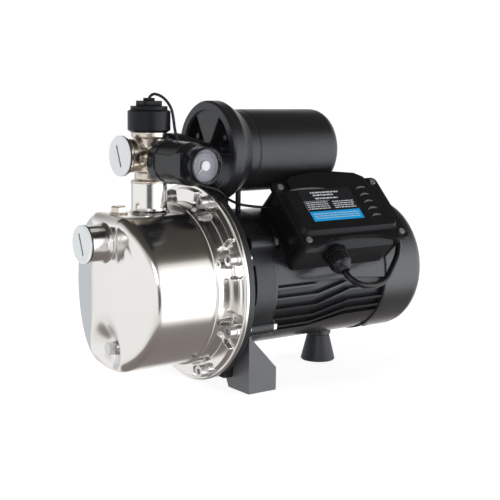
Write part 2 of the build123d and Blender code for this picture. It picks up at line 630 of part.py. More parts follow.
# ---- feet ---------------------------------------------------------------------------------
FOOT_PLATE = 18.6       # front face of the foot's upright plate
FOOT_BACK = 55.0
with BuildPart() as front_foot:
    with BuildSketch(section(FOOT_PLATE)) as upright:
        with BuildLine():
            Polyline((-FOOT_HALF, -AXIS_Z), (-FOOT_HALF, -49), (-40, -49), (40, -49),
                     (FOOT_HALF, -49), (FOOT_HALF, -AXIS_Z), (44.5, -AXIS_Z), (26, -78),
                     (-26, -78), (-44.5, -AXIS_Z), close=True)
        make_face()
        Circle(FIN_R + 0.3, mode=Mode.SUBTRACT)
        with Locations((-FOOT_BOLT_Y, -88), (FOOT_BOLT_Y, -88)):
            Circle(4.3, mode=Mode.SUBTRACT)
    extrude(upright.sketch, amount=SHEET)
    for side in (1, -1):
        inner = side * FOOT_HALF if side < 0 else FOOT_HALF - SHEET
        gusset = Plane(origin=(FLANGE_X, inner + SHEET, AXIS_Z), x_dir=(1, 0, 0),
                       z_dir=(0, -1, 0))
        slab(gusset, [(FOOT_PLATE, -AXIS_Z), (FOOT_BACK, -AXIS_Z), (FOOT_BACK, -87),
                      (24, -54), (FOOT_PLATE, -49)], SHEET)
        slab(level(0, -AXIS_Z), [(FOOT_PLATE, side * FOOT_HALF), (FOOT_BACK, side * FOOT_HALF),
                                 (FOOT_BACK, side * 44.5), (FOOT_PLATE, side * 44.5)], SHEET)
    with BuildSketch(level(FOOT_X, -AXIS_Z)) as foot_holes:
        with GridLocations(10, FOOT_PITCH, 1, 2):
            Circle(4.5)
    extrude(foot_holes.sketch, amount=SHEET, mode=Mode.SUBTRACT)
front_foot.part.label = "front_foot"
export_step(front_foot.part, "parts/front_foot.step")

with BuildPart() as foot_bolts:
    for side in (1, -1):
        seat = Plane(origin=(FLANGE_X + FOOT_PLATE + SHEET, side * FOOT_BOLT_Y, AXIS_Z - 88),
                     x_dir=(0, 1, 0), z_dir=(1, 0, 0))
        bar(seat, 8, 1.4)
        hexagon(seat.offset(1.4), 13, 5.3)
        bar(seat.offset(-12), 3.95, 12)
foot_bolts.part.label = "foot_bolts"
export_step(foot_bolts.part, "parts/foot_bolts.step")

with BuildPart() as rear_foot:
    upright_turn(REAR_FOOT_X, 0, [(0, -AXIS_Z), (19.5, -AXIS_Z), (20.5, -AXIS_Z + 1.2),
                                  (13.2, -81), (12.5, -80), (3.1, -80), (3.1, -74), (0, -74)])
rear_foot.part.label = "rear_foot"
export_step(rear_foot.part, "parts/rear_foot.step")

# ---- terminal box -------------------------------------------------------------------------
BOX_WALL = 2.5
BOX_MID = (BOX_U[0] + BOX_U[1]) / 2
BOX_LENGTH = BOX_U[1] - BOX_U[0]
SHOULDER_W = 95.0       # the sides lean in above this height
SHOULDER_HALF = 33.0


def box_outline(height, length, width, radius):
    """Rounded rectangle in the terminal box's plane at a given height."""
    with BuildSketch(BOX.offset(height)) as outline:
        with Locations((BOX_MID, 0)):
            RectangleRounded(length, width, radius)
    return outline.sketch


def at_lid_screws(start, radius, length, mode=Mode.ADD):
    """Round bars square to the lid at its four screws."""
    with BuildSketch(BOX.offset(start)) as discs:
        for screw_u in LID_SCREW_U:
            for screw_v in (-LID_SCREW_V, LID_SCREW_V):
                with Locations((screw_u, screw_v)):
                    Circle(radius)
    extrude(discs.sketch, amount=length, mode=mode)


GLAND_SEAT = Plane(origin=box_point(GLAND_U, -BOX_HALF, GLAND_W), x_dir=(1, 0, 0),
                   z_dir=(0, -1, -1))
with BuildPart() as terminal_box_base:
    extrude(box_outline(50, BOX_LENGTH, 2 * BOX_HALF, 6), amount=SHOULDER_W - 50)
    loft([box_outline(SHOULDER_W, BOX_LENGTH, 2 * BOX_HALF, 6),
          box_outline(BOX_TOP, BOX_LENGTH, 2 * SHOULDER_HALF, 6)])
    at_lid_screws(72, 5.0, BOX_TOP - 72)
    extrude(box_outline(80.5, BOX_LENGTH - 5, 2 * BOX_HALF - 5, 4),
            amount=SHOULDER_W - 81.5, mode=Mode.SUBTRACT)
    extrude(box_outline(90, BOX_LENGTH - 5, 2 * SHOULDER_HALF - 6, 4), amount=20,
            mode=Mode.SUBTRACT)
    at_lid_screws(76, 4.9, BOX_TOP - 76)
    turn([(60, 0), (60, FIN_R + 0.2), (230, FIN_R + 0.2), (230, 0)], mode=Mode.SUBTRACT)
    at_lid_screws(BOX_TOP - 14, 1.9, 15, Mode.SUBTRACT)
    bar(GLAND_SEAT.offset(-5), 8.0, 6, Mode.SUBTRACT)
    with BuildSketch(Plane(origin=box_point(*LEAD_ENTRY), x_dir=(0, 1, 1),
                           z_dir=(-1, 0, 0))) as lead_entry:
        Circle(2.7)
    extrude(lead_entry.sketch, amount=-6, mode=Mode.SUBTRACT)
terminal_box_base.part.label = "terminal_box_base"
export_step(terminal_box_base.part, "parts/terminal_box_base.step")

LID_MID = (LID_U[0] + LID_U[1]) / 2
LID_LENGTH = LID_U[1] - LID_U[0]
with BuildPart() as terminal_box_lid:
    with BuildSketch(BOX.offset(BOX_TOP)) as lid_plate:
        with Locations((LID_MID, 0)):
            RectangleRounded(LID_LENGTH, 2 * LID_HALF, 6)
        # the outer long edge arches inwards between its screws
        with BuildLine():
            Polyline((LID_U[0] + 19, -50), (LID_U[0] + 19, -LID_HALF),
                     (LID_U[0] + 46, -37), (LID_MID, -35.5),
                     (LID_U[1] - 46, -37), (LID_U[1] - 19, -LID_HALF),
                     (LID_U[1] - 19, -50), close=True)
        make_face(mode=Mode.SUBTRACT)
    extrude(lid_plate.sketch, amount=LID_FLANGE - BOX_TOP)
    # the inner long edge swells out and up over the capacitor
    with BuildSketch(BOX.offset(BOX_TOP)) as swell:
        with BuildLine():
            Polyline((LID_U[1] - 21, 26), (LID_U[1] - 21, 43), (LID_U[1] - 32, 49.5),
                     (LID_MID + 16, 53), (LID_MID - 16, 53), (LID_U[0] + 30, 49),
                     (LID_U[0] + 20, 43), (LID_U[0] + 20, 26), close=True)
        make_face()
    extrude(swell.sketch, amount=LID_FLANGE + 4 - BOX_TOP)
    loft([box_outline(LID_FLANGE, BOX_LENGTH + 2, 62, 8),
          box_outline(LID_TOP, BOX_LENGTH - 3, 56, 8)])
    loft([box_outline(BOX_TOP, BOX_LENGTH - 5, 57, 6),
          box_outline(LID_TOP - BOX_WALL, BOX_LENGTH - 9, 50, 6)], mode=Mode.SUBTRACT)
    at_lid_screws(BOX_TOP - 1, 2.1, 8, Mode.SUBTRACT)
terminal_box_lid.part.label = "terminal_box_lid"
export_step(terminal_box_lid.part, "parts/terminal_box_lid.step")

with BuildPart() as lid_screws:
    at_lid_screws(LID_FLANGE, 3.6, 2.4)
    at_lid_screws(BOX_TOP - 13, 1.85, LID_FLANGE - BOX_TOP + 13)
lid_screws.part.label = "lid_screws"
export_step(lid_screws.part, "parts/lid_screws.step")

with BuildPart() as rating_label:
    with BuildSketch(BOX.offset(LID_TOP)) as label_outline:
        with Locations((131, 5)):
            RectangleRounded(74, 44, 1.5)
    extrude(label_outline.sketch, amount=0.25)
rating_label.part.label = "rating_label"
export_step(rating_label.part, "parts/rating_label.step")

with BuildPart() as run_capacitor:
    bar(Plane(origin=box_point(128, 12, 95.5), x_dir=(0, 1, 0), z_dir=(1, 0, 0)), 14, 66)
run_capacitor.part.label = "run_capacitor"
export_step(run_capacitor.part, "parts/run_capacitor.step")

with BuildPart() as terminal_block:
    with BuildSketch(BOX.offset(80.5)) as block_outline:
        with Locations((101, 3)):
            Rectangle(26, 34)
    extrude(block_outline.sketch, amount=14)
    with BuildSketch(BOX.offset(90)) as block_channels:
        for channel in (-9, 3, 15):
            with Locations((101, channel)):
                Rectangle(20, 7)
    extrude(block_channels.sketch, amount=6, mode=Mode.SUBTRACT)
terminal_block.part.label = "terminal_block"
export_step(terminal_block.part, "parts/terminal_block.step")

GLAND_END = 27.0        # from the box wall to the mouth of the nut
with BuildPart() as cable_gland:
    hexagon(GLAND_SEAT, 24, 6)
    bar(GLAND_SEAT.offset(-4), 7.9, 4)
    bar(GLAND_SEAT.offset(6), 8.5, 3)
    bar(GLAND_SEAT.offset(-4), 3.7, 14, Mode.SUBTRACT)
cable_gland.part.label = "cable_gland"
export_step(cable_gland.part, "parts/cable_gland.step")

with BuildPart() as gland_nut:
    bar(GLAND_SEAT.offset(6), 12.5, 12)
    with BuildSketch(GLAND_SEAT.offset(18)) as nut_shoulder:
        Circle(12.5)
    with BuildSketch(GLAND_SEAT.offset(GLAND_END)) as nut_mouth:
        Circle(6.5)
    loft([nut_shoulder.sketch, nut_mouth.sketch])
    bar(GLAND_SEAT.offset(6), 8.5, 3, Mode.SUBTRACT)
    bar(GLAND_SEAT.offset(6), CORD_D / 2 + 0.15, GLAND_END, Mode.SUBTRACT)
    with BuildSketch(GLAND_SEAT.offset(21)) as bell_start:
        Circle(CORD_D / 2)
    with BuildSketch(GLAND_SEAT.offset(GLAND_END)) as bell_mouth:
        Circle(5.8)
    loft([bell_start.sketch, bell_mouth.sketch], mode=Mode.SUBTRACT)
gland_nut.part.label = "gland_nut"
export_step(gland_nut.part, "parts/gland_nut.step")

# ---- five-way connector and what it carries -----------------------------------------------
REAR_PORT = Axis((0, 0, AXIS_Z + CROSS_Z), (1, 0, 0))
CROSS_SIDE = Plane(origin=(FLANGE_X, 0, AXIS_Z + CROSS_Z), x_dir=(1, 0, 0), z_dir=(0, -1, 0))
with BuildPart() as five_way_connector:
    upright_turn(BRANCH_X, 0, [(0, 100), (PORT_BORE - 0.1, 100), (PORT_BORE - 0.1, 111.5),
                               (19.5, 111.5), (19.5, 114), (15.5, 115.5), (15.5, 122),
                               (17, 124), (17, 158), (18.8, 160), (18.8, CROSS_TOP),
                               (0, CROSS_TOP)])
    turn([(-89, 0), (-89, 19.3), (-84, 19.3), (-82.5, 17.5), (-76, 17.5), (-74, 16),
          (-34.5, 16), (-34.5, 13.4), (-24.5, 13.4), (-24.5, 0)], CROSS_SIDE, REAR_PORT)
    gauge_turn([(0, 0), (0, 16), (26, 16), (26, 13.4), (40, 13.4), (40, 0)])
    bar(Plane(origin=(FLANGE_X - 90, 0, AXIS_Z + CROSS_Z), x_dir=(0, 1, 0), z_dir=(1, 0, 0)),
        10, 70, Mode.SUBTRACT)
    bar(Plane(origin=(FLANGE_X - 90, 0, AXIS_Z + CROSS_Z), x_dir=(0, 1, 0), z_dir=(1, 0, 0)),
        14, 14, Mode.SUBTRACT)
    bar(level(BRANCH_X, 99), 10, 46, Mode.SUBTRACT)
    bar(level(BRANCH_X, 140), 8, 30, Mode.SUBTRACT)
    gauge_turn([(0, 0), (0, 9), (41, 9), (41, 0)], Mode.SUBTRACT)
five_way_connector.part.label = "five_way_connector"
export_step(five_way_connector.part, "parts/five_way_connector.step")

SWITCH_R = 22.5
SWITCH_TOP = 186.6
with BuildPart() as pressure_switch_base:
    upright_turn(BRANCH_X, 0, [(2.6, 152), (7.9, 152), (7.9, CROSS_TOP), (20, CROSS_TOP),
                               (SWITCH_R, 167), (SWITCH_R, SWITCH_TOP), (20, SWITCH_TOP),
                               (20, 170), (2.6, 170)])
pressure_switch_base.part.label = "pressure_switch_base"
export_step(pressure_switch_base.part, "parts/pressure_switch_base.step")

with BuildPart() as pressure_switch_cover:
    upright_turn(BRANCH_X, 0, [(0, SWITCH_TOP - 2.4), (19.9, SWITCH_TOP - 2.4),
                               (19.9, SWITCH_TOP), (21.6, SWITCH_TOP), (21, 187.6),
                               (19.4, 188), (19.4, 191.8), (0, 191.8)])
    with BuildSketch(level(BRANCH_X, 191.8)) as cap_outline:
        RectangleRounded(22, 22, 4)
    extrude(cap_outline.sketch, amount=5.5)
    with BuildSketch(level(BRANCH_X, 197.3)) as clip_outline:
        RectangleRounded(11, 8, 2)
    extrude(clip_outline.sketch, amount=3)
    upright_turn(BRANCH_X, 0, [(0, 180), (2.2, 180), (2.2, SWITCH_TOP - 2.4),
                               (0, SWITCH_TOP - 2.4)])
    bar(level(BRANCH_X, 193), 1.5, 9, Mode.SUBTRACT)
pressure_switch_cover.part.label = "pressure_switch_cover"
export_step(pressure_switch_cover.part, "parts/pressure_switch_cover.step")

with BuildPart() as switch_plunger:
    bar(level(BRANCH_X, 154), 2.55, 20)
    bar(level(BRANCH_X, 174), 6, 2)
switch_plunger.part.label = "switch_plunger"
export_step(switch_plunger.part, "parts/switch_plunger.step")

with BuildPart() as switch_spring:
    upright_turn(BRANCH_X, 0, [(3.4, 176), (5.2, 176), (5.2, SWITCH_TOP - 2.4),
                               (3.4, SWITCH_TOP - 2.4)])
switch_spring.part.label = "switch_spring"
export_step(switch_spring.part, "parts/switch_spring.step")

# thin lead from the switch, down behind the gauge and over the flange to the terminal box
LEAD_D = 3.0
entry = box_point(*LEAD_ENTRY) - Vector(FLANGE_X, 0, AXIS_Z)
LEAD_POINTS = [
    (BRANCH_X, 0, 193), (BRANCH_X, 0, 201), (-50.5, -2, 204.8), (-44, -6, 202.6),
    (-39.2, -10.4, 197), (-35.5, -13.8, 188.8), (-34.3, -15.6, 177.5), (-34.4, -18, 167),
    (-33, -21, 157.5), (-29.5, -24.5, 149), (-27, -27, 138), (-26, -29, 123),
    (-20, -33, 112.8), (-9, -37, 108.3), (1, -38, 106.2), (11, -37.5, 101.8), (20, -34.5, 94.5),
    (31, -30, 90), (43, -27.5, 85.5), (55, -30.5, 83.2), (66, -38.5, 82.2),
    (80, entry.Y, entry.Z)]


def bend_radii(points, share=0.45):
    """Arc radius at each corner: as large as its two runs allow."""
    radii = []
    for before, corner, after in zip(points, points[1:], points[2:]):
        turn_angle = (corner - before).get_angle(after - corner)
        shorter = min((corner - before).length, (after - corner).length)
        radii.append(share * shorter / tan(radians(turn_angle / 2)))
    return radii


def cord_tube(points, diameter, name):
    """Round cord along straight runs joined by tangent arcs; prints its length and bends."""
    radii = bend_radii(points)
    with BuildPart() as tube:
        with BuildLine():
            path = FilletPolyline(*points, radius=radii)
        with BuildSketch(Plane(origin=points[0], z_dir=points[1] - points[0])) as cut:
            Circle(diameter / 2)
        sweep(cut.sketch, path=path)
    length = path.length
    expected = pi * diameter ** 2 / 4 * length
    print(f"{name}: length {length:.0f} mm, volume ratio {tube.part.volume / expected:.4f}, "
          f"radii {[round(value) for value in radii]}")
    return tube.part


with BuildPart() as switch_lead:
    add(cord_tube([Vector(FLANGE_X + x, y, AXIS_Z + z) for x, y, z in LEAD_POINTS], LEAD_D,
                  "switch lead"))
switch_lead.part.label = "switch_lead"
export_step(switch_lead.part, "parts/switch_lead.step")

# ---- gauge on the side port ---------------------------------------------------------------
with BuildPart() as union_collars:
    gauge_turn([(COLLAR[0], 13.4), (COLLAR[0], 21), (COLLAR[0] + 2, 22.8), (COLLAR[1], 22.8),
                (COLLAR[1], 13.4)])
    turn([(-34, 13.4), (-34, 21), (-32, 22.8), (-20, 22.8), (-20, 13.4)], CROSS_SIDE,
         REAR_PORT)
    for notch in range(10):
        notch_plane = facing_gauge(COLLAR[0]).rotated((0, 0, 36 * notch))
        with BuildSketch(notch_plane) as notch_outline:
            with Locations((22.6, 0)):
                Rectangle(2.4, 4)
        extrude(notch_outline.sketch, amount=10, mode=Mode.SUBTRACT)
union_collars.part.label = "union_collars"
export_step(union_collars.part, "parts/union_collars.step")

HOLDER_END = 96.0
with BuildPart() as gauge_holder:
    gauge_turn([(COLLAR[1], 13.4), (COLLAR[1], HOLDER_R), (80, HOLDER_R), (91, 18.5),
                (HOLDER_END, 18.5), (HOLDER_END, 0), (89, 0), (85, 14), (46, 16),
                (COLLAR[1] + 1, 13.4)])
    # raised panel on the outlet side
    panel = Plane(origin=(FLANGE_X + GAUGE_X - 16, 0, AXIS_Z + GAUGE_Z), x_dir=(0, -1, 0),
                  z_dir=(-1, 0, 0))
    slab(panel, [(COLLAR[1] + 4, -9), (77, -9), (HOLDER_END - 2, -13), (HOLDER_END - 2, 13),
                 (77, 9), (COLLAR[1] + 4, 9)], 7.2)
    bar(facing_gauge(85), 3, 13, Mode.SUBTRACT)
gauge_holder.part.label = "gauge_holder"
export_step(gauge_holder.part, "parts/gauge_holder.step")

BEZEL_R = 18.8
DIAL_R = 16.2
with BuildPart() as gauge_case:
    with BuildSketch(facing_gauge(HOLDER_END)) as frame_outline:
        RectangleRounded(34, 34, 9)
    extrude(frame_outline.sketch, amount=6)
    bar(facing_gauge(HOLDER_END), BEZEL_R, GAUGE_FACE - HOLDER_END)
    bar(facing_gauge(HOLDER_END + 5), DIAL_R, GAUGE_FACE, Mode.SUBTRACT)
    rim = gauge_case.edges().filter_by(GeomType.CIRCLE).group_by(Axis.Y)[0]
    fillet(rim.filter_by(lambda e: e.radius > BEZEL_R - 0.1), 1.5)
gauge_case.part.label = "gauge_case"
export_step(gauge_case.part, "parts/gauge_case.step")

with BuildPart() as gauge_dial:
    bar(facing_gauge(HOLDER_END + 5), DIAL_R, 1)
gauge_dial.part.label = "gauge_dial"
export_step(gauge_dial.part, "parts/gauge_dial.step")

POINTER_PLANE = facing_gauge(HOLDER_END + 6.4)
POINTER_REST = 225.0    # zero mark, lower left on the dial
with BuildPart() as gauge_pointer:
    bar(POINTER_PLANE, 2.6, 2.2)
    tip_angle = radians(POINTER_REST)
    with BuildSketch(POINTER_PLANE) as blade:
        with BuildLine():
            Polyline((12.5 * cos(tip_angle), 12.5 * sin(tip_angle)),
                     (1.1 * cos(tip_angle + pi / 2), 1.1 * sin(tip_angle + pi / 2)),
                     (-5 * cos(tip_angle) - 0.8 * sin(tip_angle),
                      -5 * sin(tip_angle) + 0.8 * cos(tip_angle)),
                     (-5 * cos(tip_angle) + 0.8 * sin(tip_angle),
                      -5 * sin(tip_angle) - 0.8 * cos(tip_angle)),
                     (-1.1 * cos(tip_angle + pi / 2), -1.1 * sin(tip_angle + pi / 2)),
                     close=True)
        make_face()
    extrude(blade.sketch, amount=0.8)
gauge_pointer.part.label = "gauge_pointer"
export_step(gauge_pointer.part, "parts/gauge_pointer.step")

with BuildPart() as gauge_lens:
    bar(facing_gauge(GAUGE_FACE - 2.5), DIAL_R, 1.5)
gauge_lens.part.label = "gauge_lens"
export_step(gauge_lens.part, "parts/gauge_lens.step")

# ---- pressure tank ------------------------------------------------------------------------
POCKETS = 3
COVER_END = 58.0        # moulded front cover overlaps the shell up to here
STAY = (52.0, 12.0)     # legs that rest on the motor bracket
with BuildPart() as tank_front_cover:
    tank_turn([(TANK_FRONT, 45.2), (TANK_FRONT, 53.2), (TANK_FRONT + 2, TANK_RING_R),
               (TANK_RING_END - 5, TANK_RING_R), (TANK_RING_END, 52.5),
               (TANK_RING_END + 12, TANK_R), (COVER_END, TANK_R), (COVER_END, 43),
               (TANK_RING_END, 43), (TANK_RING_END, 0), (TANK_FRONT + 2, 0),
               (TANK_FRONT + 2, 44.6)])
    # deep pockets between three wedge-shaped webs, each with a moulded boss
    for pocket in range(POCKETS):
        pocket_plane = Plane(origin=(FLANGE_X + TANK_FRONT, 0, AXIS_Z + TANK_Z),
                             x_dir=(0, 1, 0),
                             z_dir=(1, 0, 0)).rotated((60 + 120 * pocket, 0, 0))
        arc = [radians(step) for step in range(-30, 31, 6)]
        slab(pocket_plane, [(44 * sin(a), 44 * cos(a)) for a in arc]
             + [(10 * sin(a), 10 * cos(a)) for a in arc[::-5]], 15, Mode.SUBTRACT)
        with BuildSketch(pocket_plane.offset(15.5)) as boss:
            with Locations((0, 31)):
                Circle(3.4)
        extrude(boss.sketch, amount=-9)
    # hollow neck that tapers from the union into the cover
    tank_turn([(-20, 0), (-20, 18.5), (-15, 20), (TANK_FRONT, 9.5), (TANK_RING_END - 3, 8.5),
               (TANK_RING_END - 3, 0)])
    turn([(-24, 8.9), (-24, 13.2), (-19, 13.2), (-19, 8.9)], CROSS_SIDE, REAR_PORT)
    for side in (1, -1):
        bar(level(STAY[0], 70, side * STAY[1]), 3, 31)
    turn([(40, 0), (40, FIN_R + 0.05), (60, FIN_R + 0.05), (60, 0)], mode=Mode.SUBTRACT)
    tank_turn([(-26, 0), (-26, 6.5), (TANK_RING_END + 1, 6.5), (TANK_RING_END + 1, 0)],
              Mode.SUBTRACT)
    tank_turn([(TANK_RING_END + 12, 0), (TANK_RING_END + 12, 43), (COVER_END, 43),
               (COVER_END, 0)], Mode.SUBTRACT)
tank_front_cover.part.label = "tank_front_cover"
export_step(tank_front_cover.part, "parts/tank_front_cover.step")

with BuildPart() as tank_shell:
    tank_turn([(TANK_RING_END, 39.5), (TANK_RING_END, 43), (COVER_END, 43),
               (COVER_END, TANK_R), (158, TANK_R - 0.8),
               (165, TANK_R - 3), (169.5, TANK_R - 8), (TANK_END, TANK_R - 14), (TANK_END, 0),
               (TANK_END - 2.5, 0), (TANK_END - 2.5, TANK_R - 15), (167, TANK_R - 10),
               (163, TANK_R - 5.5), (157, TANK_R - 3.3), (COVER_END + 4, TANK_R - 2.5),
               (COVER_END + 1, 39.5)])
tank_shell.part.label = "tank_shell"
export_step(tank_shell.part, "parts/tank_shell.step")

with BuildPart() as tank_bladder:
    tank_turn([(TANK_RING_END + 0.5, 7.2), (TANK_RING_END + 0.5, 22), (52, 38), (140, 38),
               (154, 30), (158, 0), (156.5, 0), (152.8, 29), (139, 36.4), (53, 36.4),
               (TANK_RING_END + 2, 21), (TANK_RING_END + 2, 7.2)])
tank_bladder.part.label = "tank_bladder"
export_step(tank_bladder.part, "parts/tank_bladder.step")

# ---- mains cord ---------------------------------------------------------------------------
# the cord drops from the gland, passes behind the lid, crosses over the motor, comes down the
# far side and ends in a coil on the floor; world coordinates
CORD_FROM = GLAND_SEAT.offset(12).origin
CORD_POINTS = [
    (84.5, -116.7, 125.5), (88.2, -123.3, 119), (99, -128.5, 113.5), (120, -125, 111.4),
    (139.7, -120, 114.6), (155.6, -112, 125.9), (173, -102, 137), (190, -86, 148),
    (195, -70, 164), (195, -50, 182), (192, -26, 195), (182, 0, 198), (170, 24, 195.5),
    (152, 46, 187), (132, 66, 174), (112, 82, 154), (96, 93, 128), (87, 98, 100),
    (83, 100, 70), (83, 102, 45), (83, 107, 25), (82.5, 118, 11), (81, 134, 4.8),
    (76.5, 151, 3.6), (68, 167, 3.6), (55, 178.5, 3.6)]
COIL_CENTRE = (22.0, 150.0)
COIL_MID_R = 38.5       # middle of the turns
COIL_TURNS = 3.75       # two beside each other, in two layers
TAIL_CENTRE = (31.2, 142.3)     # the far end turns in more tightly, round this point


def round_tail(angle, height, radius=30.4):
    """Point on the far end's turn, by angle in degrees."""
    return Vector(TAIL_CENTRE[0] + radius * cos(radians(angle)),
                  TAIL_CENTRE[1] + radius * sin(radians(angle)), height)


TAIL_POINTS = [round_tail(-42, 10.6), round_tail(-20, 12.4), round_tail(2, 16.6),
               round_tail(24, 22.0), round_tail(46, 25.8), round_tail(67, 26.6),
               round_tail(86, 26.6)]
with BuildPart() as power_cord:
    add(cord_tube([CORD_FROM] + [Vector(*point) for point in CORD_POINTS], CORD_D,
                  "power cord"))
    add(cord_tube(TAIL_POINTS, CORD_D, "cord tail"))
power_cord.part.label = "power_cord"
export_step(power_cord.part, "parts/power_cord.step")

with BuildPart() as cord_coil:
    with BuildSketch(Plane.XY) as coil_outline:
        with Locations(COIL_CENTRE):
            Circle(COIL_MID_R + CORD_D)
            Circle(COIL_MID_R - CORD_D, mode=Mode.SUBTRACT)
    extrude(coil_outline.sketch, amount=2 * CORD_D)
cord_coil.part.label = "cord_coil"
export_step(cord_coil.part, "parts/cord_coil.step")
print(f"coil: {COIL_TURNS} turns, {2 * pi * COIL_MID_R * COIL_TURNS:.0f} mm")

PLUG_LENGTH = 36.0
plug_tail = TAIL_POINTS[-1]
plug_way = TAIL_POINTS[-1] - TAIL_POINTS[-2]
plug_heading = Vector(plug_way.X, plug_way.Y, 0)
PLUG_PLANE = Plane(origin=plug_tail, x_dir=(0, 0, 1), z_dir=plug_heading)
with BuildPart() as mains_plug:
    with BuildSketch(PLUG_PLANE) as relief_small:
        Circle(4.6)
    with BuildSketch(PLUG_PLANE.offset(22)) as relief_large:
        Circle(6.8)
    loft([relief_small.sketch, relief_large.sketch])
    with BuildSketch(PLUG_PLANE.offset(22)) as body_back:
        RectangleRounded(15, 15, 5)
    with BuildSketch(PLUG_PLANE.offset(32)) as body_waist:
        RectangleRounded(24, 25, 6)
    loft([body_back.sketch, body_waist.sketch])
    with BuildSketch(PLUG_PLANE.offset(32)) as body_front:
        RectangleRounded(24, 25, 6)
    extrude(body_front.sketch, amount=PLUG_LENGTH - 10)
    with BuildSketch(PLUG_PLANE.offset(22 + PLUG_LENGTH)) as blades_outline:
        with Locations((3, -6.35), (3, 6.35)):
            Rectangle(6.5, 1.6)
        with Locations((-7, 0)):
            Circle(2.4)
    extrude(blades_outline.sketch, amount=17)
mains_plug.part.label = "mains_plug"
export_step(mains_plug.part, "parts/mains_plug.step")
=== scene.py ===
"""Looks of the shallow well jet pump: finishes, drawn sheet metal, cord, light and camera.

Lengths in the shape functions are millimetres in the pump's own frame: x along the pump axis
from the casing flange, y and z from the axis.  place() turns them into the frame's metres.
"""

import json
from math import atan2, cos, hypot, pi, radians, sin, sqrt, tan

import bmesh
import bpy
from mathutils import Matrix, Vector


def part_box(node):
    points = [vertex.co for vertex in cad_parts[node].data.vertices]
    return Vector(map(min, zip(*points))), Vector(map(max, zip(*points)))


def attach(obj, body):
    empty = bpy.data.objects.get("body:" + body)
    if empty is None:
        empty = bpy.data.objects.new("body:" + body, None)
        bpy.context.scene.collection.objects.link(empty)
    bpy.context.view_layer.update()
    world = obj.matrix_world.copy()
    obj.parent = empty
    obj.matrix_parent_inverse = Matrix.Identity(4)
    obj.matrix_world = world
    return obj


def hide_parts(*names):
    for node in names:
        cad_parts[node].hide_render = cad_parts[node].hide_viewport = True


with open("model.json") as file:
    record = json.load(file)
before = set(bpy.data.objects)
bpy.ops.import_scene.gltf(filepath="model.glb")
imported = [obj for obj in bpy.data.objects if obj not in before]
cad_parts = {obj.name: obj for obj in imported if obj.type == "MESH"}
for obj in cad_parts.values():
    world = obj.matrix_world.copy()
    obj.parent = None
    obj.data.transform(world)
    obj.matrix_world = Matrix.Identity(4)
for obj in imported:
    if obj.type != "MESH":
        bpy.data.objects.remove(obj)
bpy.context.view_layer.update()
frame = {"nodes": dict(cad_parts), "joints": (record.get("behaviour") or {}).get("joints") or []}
nodes = frame["nodes"]
MM = 0.001

# ---- places taken from the frame ----------------------------------------------------------
rotor_joint = next(j for j in frame["joints"] if j["name"] == "rotor_spin")
AXIS_Z = rotor_joint["pos_m"][2] / MM
FLANGE_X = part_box("pump_casing")[1][0] / MM


def place(x, y, z):
    """Pump frame in millimetres to the shared frame in metres."""
    return Vector((FLANGE_X + x, y, AXIS_Z + z)) * MM


def middle(node):
    """Centre of a CAD node's box, in the pump frame's millimetres."""
    low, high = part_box(node)
    centre = (Vector(low) + Vector(high)) / 2 / MM
    return Vector((centre.x - FLANGE_X, centre.y, centre.z - AXIS_Z))


# ---- camera -------------------------------------------------------------------------------
def make_camera():
    """Camera at the photograph's viewing angle."""
    yaw, pitch, roll = radians(53.797), radians(8.636), radians(0.689)
    ahead = Vector((cos(pitch) * cos(yaw), cos(pitch) * sin(yaw), -sin(pitch)))
    level_right = Vector((sin(yaw), -cos(yaw), 0))
    level_up = level_right.cross(ahead)
    right = cos(roll) * level_right + sin(roll) * level_up
    up = cos(roll) * level_up - sin(roll) * level_right
    data = bpy.data.cameras.new("camera")
    data.lens, data.sensor_width = 79.576, 36
    data.shift_x, data.shift_y = -0.00536, 0.0003
    data.clip_start, data.clip_end = 0.05, 50
    camera = bpy.data.objects.new("camera", data)
    turn = Matrix((right, up, -ahead)).transposed().to_4x4()
    camera.matrix_world = Matrix.Translation(place(-654.38, -1005.60, 217.60)) @ turn
    bpy.context.scene.collection.objects.link(camera)
    bpy.context.scene.camera = camera


make_camera()


# ---- materials ----------------------------------------------------------------------------
def node_maker(material):
    """Returns add(kind, inputs, **settings), which adds a node and links or sets its inputs."""
    tree = material.node_tree

    def add(kind, inputs=None, **settings):
        node = tree.nodes.new("ShaderNode" + kind)
        for key, value in settings.items():
            setattr(node, key, value)
        for key, value in (inputs or {}).items():
            if isinstance(value, bpy.types.NodeSocket):
                tree.links.new(value, node.inputs[key])
            else:
                node.inputs[key].default_value = value
        return node

    return add


def rgba(colour):
    return (*colour, 1.0)


